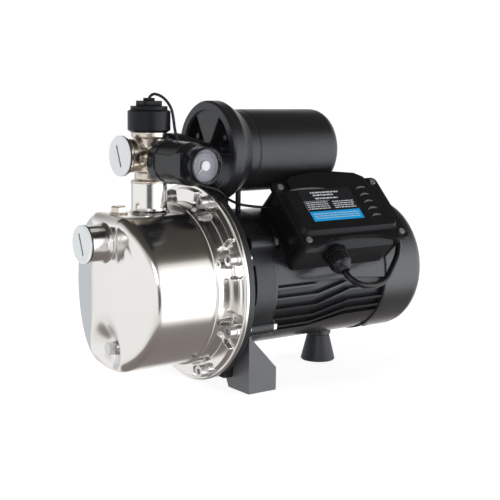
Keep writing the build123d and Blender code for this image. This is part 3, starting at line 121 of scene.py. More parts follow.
def finish(name, colour, metallic=0.0, rough=(0.3, 0.4), variation=0.12, grain=(400, 0.1, 0.02),
           blotch=30, edge=0.6, stretch=(1, 1, 1), coat=0.0, coat_rough=0.1, specular=0.5,
           subsurface=0.0, sheen=0.0, transmission=0.0, worn=None, cavity=0.0):
    """A procedural finish.

    rough is the range of roughness, grain is (scale, strength, depth in mm) of the surface's
    relief, blotch the scale of its colour variation, edge the rounding in mm of its edges,
    worn an optional colour showing through where edges have rubbed, and cavity how far in mm
    the painted shade in recesses reaches: there the colour is darkened and the gloss dulled.
    """
    material = bpy.data.materials.new(name)
    material.use_nodes = True
    tree = material.node_tree
    tree.nodes.clear()
    add = node_maker(material)
    where = add("TexCoord").outputs["Object"]
    stretched = add("Mapping", {"Vector": where, "Scale": stretch}).outputs[0]
    cloud = add("TexNoise", {"Vector": stretched, "Scale": blotch, "Detail": 6.0,
                             "Roughness": 0.6})
    fine = add("TexNoise", {"Vector": stretched, "Scale": grain[0], "Detail": 3.0})
    dark = tuple(channel * (1 - variation) for channel in colour)
    light = tuple(min(1.0, channel * (1 + variation)) for channel in colour)
    tint = add("Mix", {"Factor": cloud.outputs["Fac"], "A": rgba(dark), "B": rgba(light)},
               data_type="RGBA").outputs["Result"]
    soft = add("Bevel", {"Radius": edge * MM}, samples=6)
    if worn:
        plain = add("NewGeometry").outputs["Normal"]
        bent = add("VectorMath", {0: plain, 1: soft.outputs[0]},
                   operation="DOT_PRODUCT").outputs["Value"]
        rubbed = add("MapRange", {"Value": bent, "From Min": 0.97, "From Max": 0.86,
                                  "To Min": 0.0, "To Max": 0.6}).outputs[0]
        patchy = add("Math", {0: rubbed, 1: fine.outputs["Fac"]}, operation="MULTIPLY").outputs[0]
        tint = add("Mix", {"Factor": patchy, "A": tint, "B": rgba(worn)},
                   data_type="RGBA").outputs["Result"]
    relief = add("Bump", {"Height": fine.outputs["Fac"], "Strength": grain[1],
                          "Distance": grain[2] * MM, "Normal": soft.outputs[0]})
    gloss = add("MapRange", {"Value": cloud.outputs["Fac"], "From Min": 0.3, "From Max": 0.7,
                             "To Min": rough[0], "To Max": rough[1]})
    gloss = gloss.outputs[0]
    if cavity:
        open_to = add("AmbientOcclusion", {"Distance": cavity * MM}, samples=6).outputs["AO"]
        recess_dulling = add("MapRange", {"Value": open_to, "From Min": 0.5, "From Max": 0.95,
                                "To Min": 0.9, "To Max": rough[0]}).outputs[0]
        gloss = add("Math", {0: gloss, 1: recess_dulling}, operation="MAXIMUM").outputs[0]
        # Painted shade: where ambient occlusion finds a recess, the colour is darkened towards 15
        # per cent of itself.
        shade = add("MapRange", {"Value": open_to, "From Min": 0.4, "From Max": 0.85}).outputs[0]
        tint = add("Mix", {"Factor": shade, "A": rgba([c * 0.15 for c in colour]), "B": tint},
                   data_type="RGBA").outputs["Result"]
    shader = add("BsdfPrincipled", {"Base Color": tint, "Roughness": gloss,
                                    "IOR": 1.12 if transmission else 1.5,
                                    "Normal": relief.outputs[0], "Metallic": metallic,
                                    "Coat Weight": coat, "Coat Roughness": coat_rough,
                                    "Specular IOR Level": specular,
                                    "Subsurface Weight": subsurface, "Sheen Weight": sheen,
                                    "Transmission Weight": transmission})
    if subsurface:
        shader.inputs["Subsurface Radius"].default_value = (0.004, 0.004, 0.004)
    elif not metallic:
        shader.inputs["Specular Tint"].default_value = (0.84, 0.91, 1.0, 1)
    output = add("OutputMaterial")
    tree.links.new(shader.outputs[0], output.inputs["Surface"])
    return material


STEEL = finish("polished stainless", (0.80, 0.785, 0.76), 1.0, (0.13, 0.20), 0.03,
               (900, 0.06, 0.01), 14, 0.8, (1, 1, 1))
SOCKET_STEEL = finish("turned stainless", (0.80, 0.79, 0.77), 1.0, (0.12, 0.2), 0.04,
                      (500, 0.08, 0.01), 40, 0.4, (1, 1, 14))
NICKEL = finish("nickel plated brass", (0.66, 0.60, 0.53), 1.0, (0.20, 0.27), 0.06,
                (260, 0.10, 0.03), 35, 1.8)
ZINC = finish("zinc plated steel", (0.66, 0.66, 0.66), 0.9, (0.22, 0.38), 0.12,
              (500, 0.1, 0.02), 90, 0.5)
DARK_STEEL = finish("oiled steel", (0.32, 0.32, 0.33), 0.9, (0.3, 0.45), 0.15,
                    (500, 0.12, 0.02), 80, 0.4)
BRASS = finish("cast brass", (0.66, 0.50, 0.27), 1.0, (0.22, 0.36), 0.12, (300, 0.2, 0.05), 60,
               0.4)
# Finishes that set cavity get painted shade in their recesses: the fin grooves, the iron's
# hollows, the box's hollows and the caps' slots.
IRON = finish("black cast iron", (0.010, 0.010, 0.011), 0.0, (0.30, 0.46), 0.25,
              (240, 0.35, 0.12), 45, 1.2, coat=0.15, coat_rough=0.3,
              worn=(0.05, 0.05, 0.05), cavity=14)
MOTOR_PAINT = finish("black motor paint", (0.009, 0.009, 0.010), 0.0, (0.22, 0.30), 0.2,
                     (320, 0.2, 0.05), 40, 0.7, coat=0.25, coat_rough=0.15,
                     worn=(0.06, 0.06, 0.06), cavity=9)
COVER_PAINT = finish("black cover paint", (0.017, 0.017, 0.018), 0.0, (0.24, 0.34), 0.2,
                     (700, 0.2, 0.03), 30, 4.0, coat=0.4, coat_rough=0.22)
FOOT_PAINT = finish("grey foot paint", (0.085, 0.085, 0.088), 0.0, (0.34, 0.48), 0.12,
                    (500, 0.25, 0.05), 50, 0.8, coat=0.15, coat_rough=0.3,
                    worn=(0.22, 0.22, 0.22))
BLACK_PLASTIC = finish("black moulded plastic", (0.009, 0.009, 0.010), 0.0, (0.20, 0.30), 0.15,
                       (1400, 0.2, 0.02), 35, 0.9, specular=0.38)
TANK_PLASTIC = finish("black tank plastic", (0.012, 0.012, 0.013), 0.0, (0.27, 0.36), 0.15,
                      (1100, 0.22, 0.025), 25, 2.0, specular=0.5)
GREY_PLASTIC = finish("grey plastic", (0.45, 0.46, 0.48), 0.0, (0.35, 0.45), 0.08,
                      (900, 0.15, 0.02), 40, 0.5)
WHITE_PLASTIC = finish("white translucent plastic", (0.74, 0.77, 0.79), 0.0, (0.26, 0.36), 0.03,
                       (700, 0.12, 0.02), 40, 0.9, subsurface=0.12, cavity=3)
RUBBER = finish("black rubber", (0.013, 0.013, 0.013), 0.0, (0.45, 0.6), 0.2, (900, 0.3, 0.04),
                40, 0.9, sheen=0.1)
CORD_SKIN = finish("cord sheath", (0.007, 0.007, 0.008), 0.0, (0.26, 0.34), 0.15,
                   (900, 0.15, 0.02), 60, 0.1, specular=0.35)
COPPER = finish("varnished winding", (0.42, 0.17, 0.07), 0.6, (0.3, 0.4), 0.25,
                (350, 0.5, 0.4), 120, 0.5, (1, 1, 1))
LAMINATION = finish("laminated core", (0.25, 0.25, 0.26), 0.9, (0.35, 0.5), 0.2,
                    (900, 0.5, 0.08), 50, 0.2, (12, 1, 1))
CERAMIC = finish("seal ceramic", (0.74, 0.70, 0.62), 0.0, (0.15, 0.25), 0.05, (600, 0.1, 0.02),
                 60, 0.3)
LENS = finish("clear lens", (0.98, 0.98, 0.99), 0.0, (0.02, 0.04), 0.01, (200, 0.02, 0.005), 30,
              0.3, transmission=1.0)
DIAL = finish("dial face", (0.36, 0.36, 0.40), 0.0, (0.5, 0.6), 0.03, (600, 0.1, 0.01), 40,
              0.1, specular=0.2)
DIAL_MARK = finish("dial print", (0.10, 0.10, 0.13), 0.0, (0.5, 0.6), 0.05, (600, 0.1, 0.01),
                   40, 0.05, specular=0.2)
POINTER_WHITE = finish("pointer enamel", (0.9, 0.9, 0.92), 0.0, (0.25, 0.35), 0.02,
                       (600, 0.08, 0.01), 40, 0.2)
LABEL = finish("label film", (0.012, 0.013, 0.016), 0.0, (0.2, 0.28), 0.1, (500, 0.06, 0.01),
               30, 0.1, coat=0.4)
LABEL_BLUE = finish("label blue", (0.004, 0.30, 0.66), 0.0, (0.3, 0.4), 0.06,
                    (500, 0.06, 0.01), 30, 0.1, specular=0.25)
LABEL_PRINT = finish("label print", (0.5, 0.52, 0.55), 0.0, (0.3, 0.4), 0.1,
                     (500, 0.06, 0.01), 60, 0.05)

# Lighter grey that paints the highlights on the lid's grips and rib; the lid itself is black.
RIB_HIGHLIGHT_GREY = finish("lid rib painted highlight", (0.12, 0.12, 0.12), 0.0, (0.3, 0.4), 0.1,
                  (900, 0.15, 0.02), 40, 0.3)
BEZEL_BLACK = finish("gauge bezel black", (0.005, 0.005, 0.006), 0.0, (0.18, 0.26), 0.1,
                     (900, 0.1, 0.01), 40, 0.3, specular=0.15)
DULL_PLASTIC = finish("dull black plastic", (0.008, 0.008, 0.009), 0.0, (0.26, 0.36), 0.15,
                        (1400, 0.2, 0.02), 35, 0.6, specular=0.22, cavity=5)

CAD_FINISH = {
    "pump_casing": STEEL, "port_sockets": SOCKET_STEEL, "suction_cap": WHITE_PLASTIC,
    "outlet_cap": WHITE_PLASTIC, "priming_plug": NICKEL, "drain_plug": ZINC,
    "flange_bolts": ZINC, "casing_seal": RUBBER, "seal_plate": STEEL,
    "diffuser": BLACK_PLASTIC, "venturi_tube": BLACK_PLASTIC, "jet_nozzle": BLACK_PLASTIC,
    "check_valve_seat": GREY_PLASTIC, "check_valve_poppet": WHITE_PLASTIC, "impeller": BRASS,
    "impeller_nut": ZINC, "seal_ring": DARK_STEEL, "seal_seat": CERAMIC,
    "motor_bracket": IRON, "bracket_bolts": ZINC, "motor_housing": MOTOR_PAINT,
    "stator_core": LAMINATION, "stator_windings": COPPER, "rotor_shaft": ZINC,
    "rotor_core": LAMINATION, "bearing_outer_rings": DARK_STEEL,
    "bearing_inner_rings": DARK_STEEL, "rear_end_shield": IRON,
    "cooling_fan": BLACK_PLASTIC, "fan_cover": COVER_PAINT, "fan_cover_screws": DARK_STEEL,
    "front_foot": FOOT_PAINT, "foot_bolts": ZINC, "rear_foot": RUBBER,
    "terminal_box_base": DULL_PLASTIC, "terminal_box_lid": DULL_PLASTIC,
    "lid_screws": ZINC, "rating_label": LABEL, "run_capacitor": GREY_PLASTIC,
    "terminal_block": WHITE_PLASTIC, "cable_gland": BLACK_PLASTIC, "gland_nut": BLACK_PLASTIC,
    "five_way_connector": NICKEL, "pressure_switch_base": DULL_PLASTIC,
    "pressure_switch_cover": DULL_PLASTIC, "switch_plunger": ZINC, "switch_spring": ZINC,
    "switch_lead": CORD_SKIN, "union_collars": BLACK_PLASTIC, "gauge_holder": BLACK_PLASTIC,
    "gauge_case": BLACK_PLASTIC, "gauge_dial": DIAL, "gauge_pointer": POINTER_WHITE,
    "gauge_lens": LENS, "tank_front_cover": TANK_PLASTIC, "tank_shell": TANK_PLASTIC,
    "tank_bladder": RUBBER, "power_cord": CORD_SKIN, "cord_coil": CORD_SKIN,
    "mains_plug": RUBBER,
}


def paint(piece, material):
    """Gives a piece one material."""
    if piece.data.materials:
        for slot in piece.material_slots:
            slot.material = material
    else:
        piece.data.materials.append(material)


for node_name, node_finish in CAD_FINISH.items():
    paint(nodes[node_name], node_finish)


# ---- mesh helpers -------------------------------------------------------------------------
def piece_from(name, vertices, faces, material, body="pump", crease=40):
    """Mesh object from points in metres; edges sharper than crease degrees stay sharp."""
    mesh = bpy.data.meshes.new(name)
    mesh.from_pydata([tuple(v) for v in vertices], [], faces)
    work = bmesh.new()
    work.from_mesh(mesh)
    bmesh.ops.remove_doubles(work, verts=work.verts, dist=1e-6)
    bmesh.ops.recalc_face_normals(work, faces=work.faces)
    for face in work.faces:
        face.smooth = True
    for edge in work.edges:
        if len(edge.link_faces) == 2:
            edge.smooth = edge.calc_face_angle(0) < radians(crease)
    work.to_mesh(mesh)
    work.free()
    mesh.materials.append(material)
    piece = bpy.data.objects.new(name, mesh)
    bpy.context.scene.collection.objects.link(piece)
    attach(piece, body)
    return piece


def rounded(points, steps=6):
    """Outline with its corners rounded: each point is (a, b) or (a, b, radius)."""
    result = []
    for index, point in enumerate(points):
        here = Vector(point[:2])
        radius = point[2] if len(point) > 2 else 0
        if not radius or index in (0, len(points) - 1):
            result.append(here)
            continue
        before = Vector(points[index - 1][:2]) - here
        after = Vector(points[index + 1][:2]) - here
        half = before.angle(after) / 2
        reach = min(radius / tan(half), 0.49 * before.length, 0.49 * after.length)
        radius = reach * tan(half)
        start, end = here + before.normalized() * reach, here + after.normalized() * reach
        centre = here + (before.normalized() + after.normalized()).normalized() * (
            radius / sin(half))
        a, b = start - centre, end - centre
        sweep = atan2(a.x * b.y - a.y * b.x, a.dot(b))
        for step in range(steps + 1):
            angle = sweep * step / steps
            result.append(centre + Vector((a.x * cos(angle) - a.y * sin(angle),
                                           a.x * sin(angle) + a.y * cos(angle))))
    return result


def lathe(name, profile, origin, axis, material, body="pump", steps=128, ripple=None,
          crease=40):
    """Turned piece: profile of (along, radius, rounding) in mm about an axis through origin."""
    axis = Vector(axis).normalized()
    side = axis.orthogonal().normalized()
    other = axis.cross(side)
    outline = rounded(profile)
    vertices = []
    for along, radius in outline:
        for step in range(steps):
            angle = 2 * pi * step / steps
            reach = radius * (ripple(along, angle) if ripple else 1)
            vertices.append(origin + (axis * along + side * (reach * cos(angle))
                                      + other * (reach * sin(angle))) * MM)
    faces = [(i * steps + j, i * steps + (j + 1) % steps, (i + 1) * steps + (j + 1) % steps,
              (i + 1) * steps + j) for i in range(len(outline) - 1) for j in range(steps)]
    return piece_from(name, vertices, faces, material, body, crease)


# ---- mains cord ---------------------------------------------------------------------------
CORD_D = 0.007
COIL_CENTRE = Vector((0.022, 0.150, 0))
TAIL_CENTRE = Vector((0.0312, 0.1423, 0))
COIL_R = (0.042, 0.035)         # outer and inner turns
TAIL_R = 0.0304                 # the last turn, up to the plug
TIE_AT, TIE_HEIGHT, TIE_REACH, TIE_HALF_WIDTH = 0.0385, 0.0076, 0.0071, 2.2
cord_route = [
    (84.5, -103.2, 138.9), (84.5, -110, 132.2), (84.5, -116.7, 125.5), (88.2, -123.3, 119),
    (99, -128.5, 113.5), (120, -125, 111.4), (139.7, -120, 114.6), (155.6, -112, 125.9),
    (173, -102, 137), (190, -86, 148), (195, -70, 164), (195, -50, 182), (192, -26, 195),
    (182, 0, 198), (170, 24, 195.5), (152, 46, 187), (132, 66, 174), (112, 82, 154),
    (96, 93, 128), (87, 98, 100), (83, 100, 70), (83, 102, 45), (83, 107, 25),
    (82.5, 118, 11), (81, 134, 4.8), (76.5, 151, 3.6), (68, 167, 3.6), (57, 177, 3.6)]


def coil_points():
    """The coil's turns: outer, inner, inner above and outer above, then the far end's turn."""
    start, turns, per_turn = radians(50), 3.75, 20
    points = []
    for index in range(1, int(turns * per_turn)):
        turn = index / per_turn
        layer = min(1.0, max(0.0, (turn - 1.85) / 0.3))
        inward = min(1.0, max(0.0, (turn - 0.85) / 0.3)) - min(1.0, max(0.0, (turn - 2.85) / 0.3))
        radius = COIL_R[0] + (COIL_R[1] - COIL_R[0]) * inward
        angle = start + 2 * pi * turn
        points.append(COIL_CENTRE + Vector((radius * cos(angle), radius * sin(angle),
                                            CORD_D * (0.52 + 0.98 * layer))))
    for angle, height in ((-42, 10.6), (-20, 12.4), (2, 16.6), (24, 22.0), (46, 25.8),
                          (67, 26.6), (86, 26.6)):
        points.append(TAIL_CENTRE + Vector((TAIL_R * cos(radians(angle)),
                                            TAIL_R * sin(radians(angle)), height * MM)))
    return points


def make_cord():
    """The mains cord as one smooth line from the gland to the plug."""
    curve = bpy.data.curves.new("mains_cord", "CURVE")
    curve.dimensions = "3D"
    spline = curve.splines.new("NURBS")
    points = [Vector(point) * MM for point in cord_route] + coil_points()
    spline.points.add(len(points) - 1)
    for target, point in zip(spline.points, points):
        target.co = (*point, 1)
    spline.order_u = 3
    spline.use_endpoint_u = True
    curve.resolution_u = 10
    curve.bevel_depth = CORD_D / 2
    curve.bevel_resolution = 6
    cord = bpy.data.objects.new("mains_cord", curve)
    bpy.context.scene.collection.objects.link(cord)
    curve.materials.append(CORD_SKIN)
    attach(cord, "pump")
    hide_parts("power_cord", "cord_coil")
    return cord


mains_cord = make_cord()


def make_tie(angle):
    """Strap of the cable tie round the coil's turns, at an angle round the coil."""
    along = Vector((-sin(angle), cos(angle), 0))
    out = Vector((cos(angle), sin(angle), 0))
    centre = COIL_CENTRE + out * TIE_AT + Vector((0, 0, TIE_HEIGHT))
    outline = []
    for step in range(48):
        turn = 2 * pi * step / 48
        reach = TIE_REACH / max(abs(cos(turn)), abs(sin(turn)), 0.78)
        outline.append(out * (reach * cos(turn)) + Vector((0, 0, reach * sin(turn))))
    vertices, faces = [], []
    for side, growth in ((-1, 1.0), (-1, 1.06), (1, 1.06), (1, 1.0)):
        offset = along * (side * TIE_HALF_WIDTH) * MM
        vertices += [centre + offset + point * growth for point in outline]
    for ring in range(4):
        for k in range(48):
            faces.append((ring * 48 + k, ring * 48 + (k + 1) % 48,
                          (ring + 1) % 4 * 48 + (k + 1) % 48, (ring + 1) % 4 * 48 + k))
    return piece_from("coil_tie", vertices, faces, BLACK_PLASTIC)


coil_tie = make_tie(radians(200))


# ---- pressed casing -----------------------------------------------------------------------
DRUM_R, PAD_Z, RIDGE_HALF = 86.5, 80.5, 29.0
RIDGE_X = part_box("pump_casing")[0][0] / MM - FLANGE_X
LAND_X, BOLT_CIRCLE_R, POCKET_R, PAD_DEPTH = -5.0, 98.8, 20.0, 5.0
DRAIN_X, DRAIN_Z, DRAIN_SEAT_R = -97.0, -62.0, 10.0
ROOF_SLOPE, DIMPLE_SLOPE = 0.235, 0.62
SUCTION_Z, BRANCH_X, PORT_CUT = 51.5, -55.0, 17.0


def smoothstep(low, high, value):
    """0 below low, 1 above high and an even curve between."""
    share = min(1.0, max(0.0, (value - low) / (high - low)))
    return share * share * (3 - 2 * share)


def soft_max(a, b, width):
    """The larger of two numbers, rounded over where they meet."""
    return (a + b + sqrt((a - b) ** 2 + width * width)) / 2


def soft_min(a, b, width):
    """The smaller of two numbers, rounded over where they meet."""
    return (a + b - sqrt((a - b) ** 2 + width * width)) / 2


def front_face(y, z):
    """Station of the pressed front: flat ridge, roof planes beside it and the drain dimple."""
    face = RIDGE_X + ROOF_SLOPE * soft_max(abs(y) - RIDGE_HALF, 0, 3.5)
    # folds that stiffen the sheet beside the suction socket, with a small oval dent in each
    fold = smoothstep(23, 29, abs(y)) - smoothstep(31, 50, abs(y))
    dent = hypot((abs(y) - 46 + 0.25 * (z - 42)) / 8, (z - 42) / 13)
    face += 1.3 * fold * smoothstep(20, 46, z) + 0.7 * (1 - smoothstep(0.1, 1.0, dent))
    depth = soft_max(hypot(y, z - DRAIN_Z) - DRAIN_SEAT_R, 0, 4)
    dimple = DRAIN_X - DIMPLE_SLOPE * depth
    return soft_max(face, dimple, 3)


def drum_radius(angle, pressed):
    """Outside of the drum; pressed is 1 where its top is flattened."""
    flat = soft_min(DRUM_R, PAD_Z / max(sin(angle), 0.3), 1.2)
    return DRUM_R + pressed * (flat - DRUM_R)


def flange_face(radius, angle):
    """Front of the flange: raised pads with a scallop pressed round each bolt."""
    off = (angle / (pi / 4) - 0.5) % 1
    off = (off - (off > 0.5)) * pi / 4
    reach = hypot(radius * cos(off) - BOLT_CIRCLE_R, radius * sin(off))
    pad = (1 - smoothstep(102.4, 104.4, radius)) * smoothstep(-1, 1, reach - POCKET_R)
    return LAND_X - PAD_DEPTH * pad


def casing_ray(angle):
    """Points (x, radius) of the casing from the middle of its front out and back."""
    c, s = cos(angle), sin(angle)
    outer = drum_radius(angle, 1.0)
    rim = 7 + 6 * s ** 4
    inner = outer - rim
    ray = []
    for step in range(87):
        radius = inner * step / 86
        ray.append((front_face(radius * c, radius * s), radius))
    slope = ray[-1][0] - front_face((inner - 1) * c, (inner - 1) * s)
    x0 = ray[-1][0]
    x1 = RIDGE_X + ROOF_SLOPE * max(abs(outer * c) - RIDGE_HALF, 0) + rim
    for step in range(1, 12):
        t = step / 11
        h0, h1 = (1 + 2 * t) * (1 - t) ** 2, t * (1 - t) ** 2
        h2, h3 = t * t * (3 - 2 * t), t * t * (t - 1)
        ray.append((h0 * x0 + h1 * 1.6 * rim * slope + h2 * x1 + h3 * 1.6 * rim,
                    h0 * inner + h1 * 1.6 * rim + h2 * outer))
    for step in range(1, 15):
        x = x1 + (-26.6 - x1) * step / 14
        ray.append((x, drum_radius(angle, 1 - smoothstep(-33, -27, x))))
    ray += [(-26.3, 86.7), (-26, 87.2), (-25.8, 87.9), (-25.2, 88.35), (-24.4, 88.5)]
    wall = flange_face(89, angle)
    ray += [(-24.4 + (wall + 22.9) * t, 88.5) for t in (0.35, 0.7, 1)]
    ray += [(wall - 0.7, 88.75), (wall - 0.15, 89.3)]
    for radius in (90, 91, 92, 93, 94, 95, 96, 97, 98, 99, 100, 101, 101.8, 102.4, 102.9,
                   103.4, 103.9, 104.5, 105.3, 106.2):
        ray.append((flange_face(radius, angle), radius))
    ray += [(-4.6, 107.2), (-3.9, 107.9), (-3, 108.2), (-0.6, 108.2), (0, 107.7),
            (0, 105.6), (-3, 105.6), (-3, 86.7)]
    return ray


def in_port(x, y, z):
    """True where the sheet is pierced under the suction and discharge sockets."""
    suction = x < -90 and hypot(y, z - SUCTION_Z) < PORT_CUT
    return suction or (z > 70 and hypot(x - BRANCH_X, y) < PORT_CUT)


def make_casing():
    """Deep-drawn stainless shell, formed as one sheet."""
    turns = 576
    rays = [casing_ray(2 * pi * (turn + 0.5) / turns) for turn in range(turns)]
    rows = len(rays[0])
    vertices = []
    for turn, ray in enumerate(rays):
        angle = 2 * pi * (turn + 0.5) / turns
        for x, radius in ray:
            vertices.append(place(x, radius * cos(angle), radius * sin(angle)))
    faces = []
    for turn, ray in enumerate(rays):
        a, b = turn * rows, (turn + 1) % turns * rows
        angle = 2 * pi * (turn + 0.5) / turns
        for k in range(rows - 1):
            x, radius = ray[k]
            if not in_port(x, radius * cos(angle), radius * sin(angle)):
                faces.append((a + k, a + k + 1, b + k + 1, b + k))
    casing = piece_from("pressed_casing", vertices, faces, STEEL, crease=50)
    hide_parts("pump_casing")


make_casing()

# ---- turned pieces ------------------------------------------------------------------------
ALONG = (1, 0, 0)
TANK_Z, TANK_END = 142.5, 171.0

tank = lathe("moulded_tank", [
    (56.5, 43.2), (58.0, 45.0, 0.4), (60, 45.6, 1), (155, 45.2), (163, 45.1, 10),
    (TANK_END - 0.6, 42, 12), (TANK_END, 20, 4), (TANK_END - 0.4, 0)],
    place(0, 0, TANK_Z), ALONG, TANK_PLASTIC, steps=160, crease=60)
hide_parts("tank_shell")


# ---- gland nut ----------------------------------------------------------------------------
def on_box(u, v, w):
    """Place in terminal box coordinates: u along the pump, v across the lid, w out of it."""
    half = sqrt(0.5)
    return place(u, half * (v - w), half * (v + w))


def nut_grips(along, angle):
    """Grip ribs round the nut's barrel that fade out on its cone."""
    rib = 0.5 + 0.5 * cos(14 * angle)
    return 1 - 0.055 * (1 - rib ** 0.5) * (1 - smoothstep(16, 20, along))


nut = lathe("gland_dome_nut", [
    (6, 8.6), (6, 12, 0.6), (7, 12.5, 0.6), (17, 12.5, 2), (20.5, 10.6, 3), (24.5, 7.6, 3),
    (27, 6.6, 0.8), (27, 5.6, 0.5), (24, 4.3, 1), (20, 3.7)],
    on_box(122.5, -42, 92), (0, -1, -1), BLACK_PLASTIC, steps=168, ripple=nut_grips)
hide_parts("gland_nut")


# ---- printing on the lid, and painted highlights on its grips and rib ---------------------
LID_TOP = 116.0


def on_lid(name, outlines, low, high, material, crease=30):
    """Thin plates with given (u, v) outlines standing on the lid from low to high."""
    vertices, faces = [], []
    for outline in outlines:
        first, count = len(vertices), len(outline)
        vertices += [on_box(u, v, low) for u, v in outline]
        vertices += [on_box(u, v, high) for u, v in outline]
        faces.append(tuple(range(first + count, first + 2 * count)))
        faces += [(first + k, first + (k + 1) % count, first + count + (k + 1) % count,
                   first + count + k) for k in range(count)]
    return piece_from(name, vertices, faces, material, crease=crease)


def oblong(u0, v0, u1, v1):
    return [(u0, v0), (u1, v0), (u1, v1), (u0, v1)]


def dashes(v, start, stop, height, seed):
    """A line of plain bars of uneven length that stands for a line of print."""
    bars, u, index = [], start, seed
    while u < stop - 1.2:
        length = min(stop - u, 1.6 + (index * 37 % 11) * 0.42)
        bars.append(oblong(u, v, u + length, v + height))
        u += length + 0.9
        index += 1
    return bars


def crescent(centre_u, centre_v, length, bulge, thickness, tilt=0.0):
    """Lens shape, pointed at both ends and bowed towards +v."""
    points = []
    for sign in (1, -1):
        for step in range(12):
            t = sign * (2 * step / 12 - 1)
            v = bulge * (1 - t * t) + sign * thickness / 2 * (1 - t * t)
            u = t * length / 2
            points.append((centre_u + u * cos(tilt) - v * sin(tilt),
                           centre_v + u * sin(tilt) + v * cos(tilt)))
    return points


def make_print():
    """Blue band, frame lines and bars on the rating label, and grips and rib on the lid in a
    lighter grey that paints their highlights.
    """
    level = LID_TOP + 0.25
    on_lid("label_band", [oblong(95.5, -16.6, 166.5, -3.5)], level, level + 0.06, LABEL_BLUE)
    bars = []
    for row, (v, start, stop) in enumerate(((21.5, 110, 150), (17.8, 112, 142),
                                            (13.2, 113, 147))):
        bars += dashes(v, start, stop, 1.9, row + 3)
    for row in range(4):
        v = 8.2 - 2.85 * row
        bars += dashes(v, 97, 127, 1.3, 5 * row + 2)
        bars += dashes(v, 134, 164, 1.3, 4 * row + 1)
    for v in (-7.4, -10.4, -13.3):
        bars += dashes(v, 99, 163, 0.9, int(-v))
    bars += [oblong(95, 10.8, 131, 11.1), oblong(95, -2.6, 95.3, 10.8)]
    on_lid("label_print", bars, level + 0.07, level + 0.12, LABEL_PRINT)
    # The grips' lighter grey is a painted highlight.
    waves = [crescent(184.5, v, 15, 2.2, 1.9, 0.12) for v in (24, 14, 4, -6, -16)]
    on_lid("lid_grips", waves, LID_TOP - 0.5, LID_TOP + 1.5, RIB_HIGHLIGHT_GREY)
    # Thin grey plate laid where the lid's crown edge catches light: a painted highlight.
    on_lid("lid_highlight_rib", [crescent(109, 27.6, 50, 1.2, 2.0)], LID_TOP - 0.5, LID_TOP + 0.8,
           RIB_HIGHLIGHT_GREY)


make_print()


# ---- gauge --------------------------------------------------------------------------------
needle_joint = next(j for j in frame["joints"] if j["name"] == "gauge_pointer_turn")
GAUGE_X = needle_joint["pos_m"][0] / MM - FLANGE_X
GAUGE_Z = needle_joint["pos_m"][2] / MM - AXIS_Z
GAUGE_FACE = -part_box("gauge_case")[0][1] / MM
DIAL_DEPTH = -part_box("gauge_dial")[0][1] / MM


def dial_arc(radius, width, first, last, steps=40):
    """Flat arc on the dial as a closed outline of (x, z) points, angles in degrees."""
    angles = [radians(first + (last - first) * step / steps) for step in range(steps + 1)]
    outer = [((radius + width / 2) * cos(a), (radius + width / 2) * sin(a)) for a in angles]
    inner = [((radius - width / 2) * cos(a), (radius - width / 2) * sin(a)) for a in angles]
    return outer, inner


def make_dial():
    """Scale arcs and ticks printed on the dial."""
    vertices, faces = [], []
    depth = DIAL_DEPTH + 0.05

    def band(outer, inner):
        first, count = len(vertices), len(outer)
        for x, z in outer + inner:
            vertices.append(place(GAUGE_X + x, -depth, GAUGE_Z + z))
        for k in range(count - 1):
            faces.append((first + k, first + k + 1, first + count + k + 1, first + count + k))

    band(*dial_arc(13.6, 0.45, -45, 225))
    band(*dial_arc(9.4, 0.35, -45, 225))
    for tick in range(28):
        angle = 225 - 10 * tick
        span = 0.9 if tick % 3 else 1.5
        band(*dial_arc(12.4 if tick % 3 else 12.0, 2 if tick % 3 else 2.8,
                       angle - span, angle + span, 2))
    piece_from("dial_scale", vertices, faces, DIAL_MARK)


make_dial()
lathe("gauge_bezel", [
    (-11, 18.3), (-7.5, 18.9, 0.8), (-5.6, 18.9, 0.6), (-5.0, 18.2, 0.4), (-4.0, 18.2, 0.4),
    (-3.4, 19.0, 0.6), (-0.9, 19.0, 0.9), (0, 18.1, 0.6), (0, 17.2, 0.4), (-0.8, 16.5, 0.4),
    (-3, 16.3), (-6, 16.25)],
    place(GAUGE_X, -GAUGE_FACE, GAUGE_Z), (0, -1, 0), BEZEL_BLACK, steps=144)


hub_base = -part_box("gauge_pointer")[0][1] / MM
lathe("pointer_hub", [(-0.6, 2.8), (-0.6, 5.0, 0.3), (0.15, 4.9, 0.4), (0.35, 1.5, 0.3),
                      (0.35, 0.05)],
      place(GAUGE_X, -hub_base, GAUGE_Z), (0, -1, 0), POINTER_WHITE, body="gauge_needle",
      steps=72)


# ---- dark rings behind the transit caps: painted shade in the gap -------------------------
CAP_RIM, RING_WIDTH = 2.4, 2.2


def gap_shade_ring(name, cap, radius):
    """Black ring between a cap's rim and its port, a dark band that paints the shade in the gap
    there.
    """
    centre = middle(cap)
    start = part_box(cap)[0][0] / MM - FLANGE_X + CAP_RIM
    lathe(name, [(0, radius - 2), (0, radius, 0.3), (RING_WIDTH, radius, 0.6),
                 (RING_WIDTH, radius - 2)],
          place(start, 0, centre.z), ALONG, RUBBER, steps=96)


gap_shade_ring("suction_gap_shade_ring", "suction_cap", 20.15)
gap_shade_ring("outlet_gap_shade_ring", "outlet_cap", 21.1)


# ---- studio -------------------------------------------------------------------------------
def make_floor():
    """White light table: it glows a little, so shadows on it stay faint."""
    bpy.ops.mesh.primitive_circle_add(vertices=96, radius=9, fill_type="NGON",
                                      location=(0, 0, 0))
    floor = bpy.context.object
    floor.name = "floor"
    paper = finish("floor paper", (0.40, 0.40, 0.40), 0.0, (0.7, 0.8), 0.004,
                   (300, 0.02, 0.01), 3, 0.01, specular=0.1)
    shader = paper.node_tree.nodes["Principled BSDF"]
    shader.inputs["Emission Color"].default_value = (1, 1, 1, 1)
    shader.inputs["Emission Strength"].default_value = 0.86
    floor.data.materials.append(paper)
    floor.visible_glossy = False


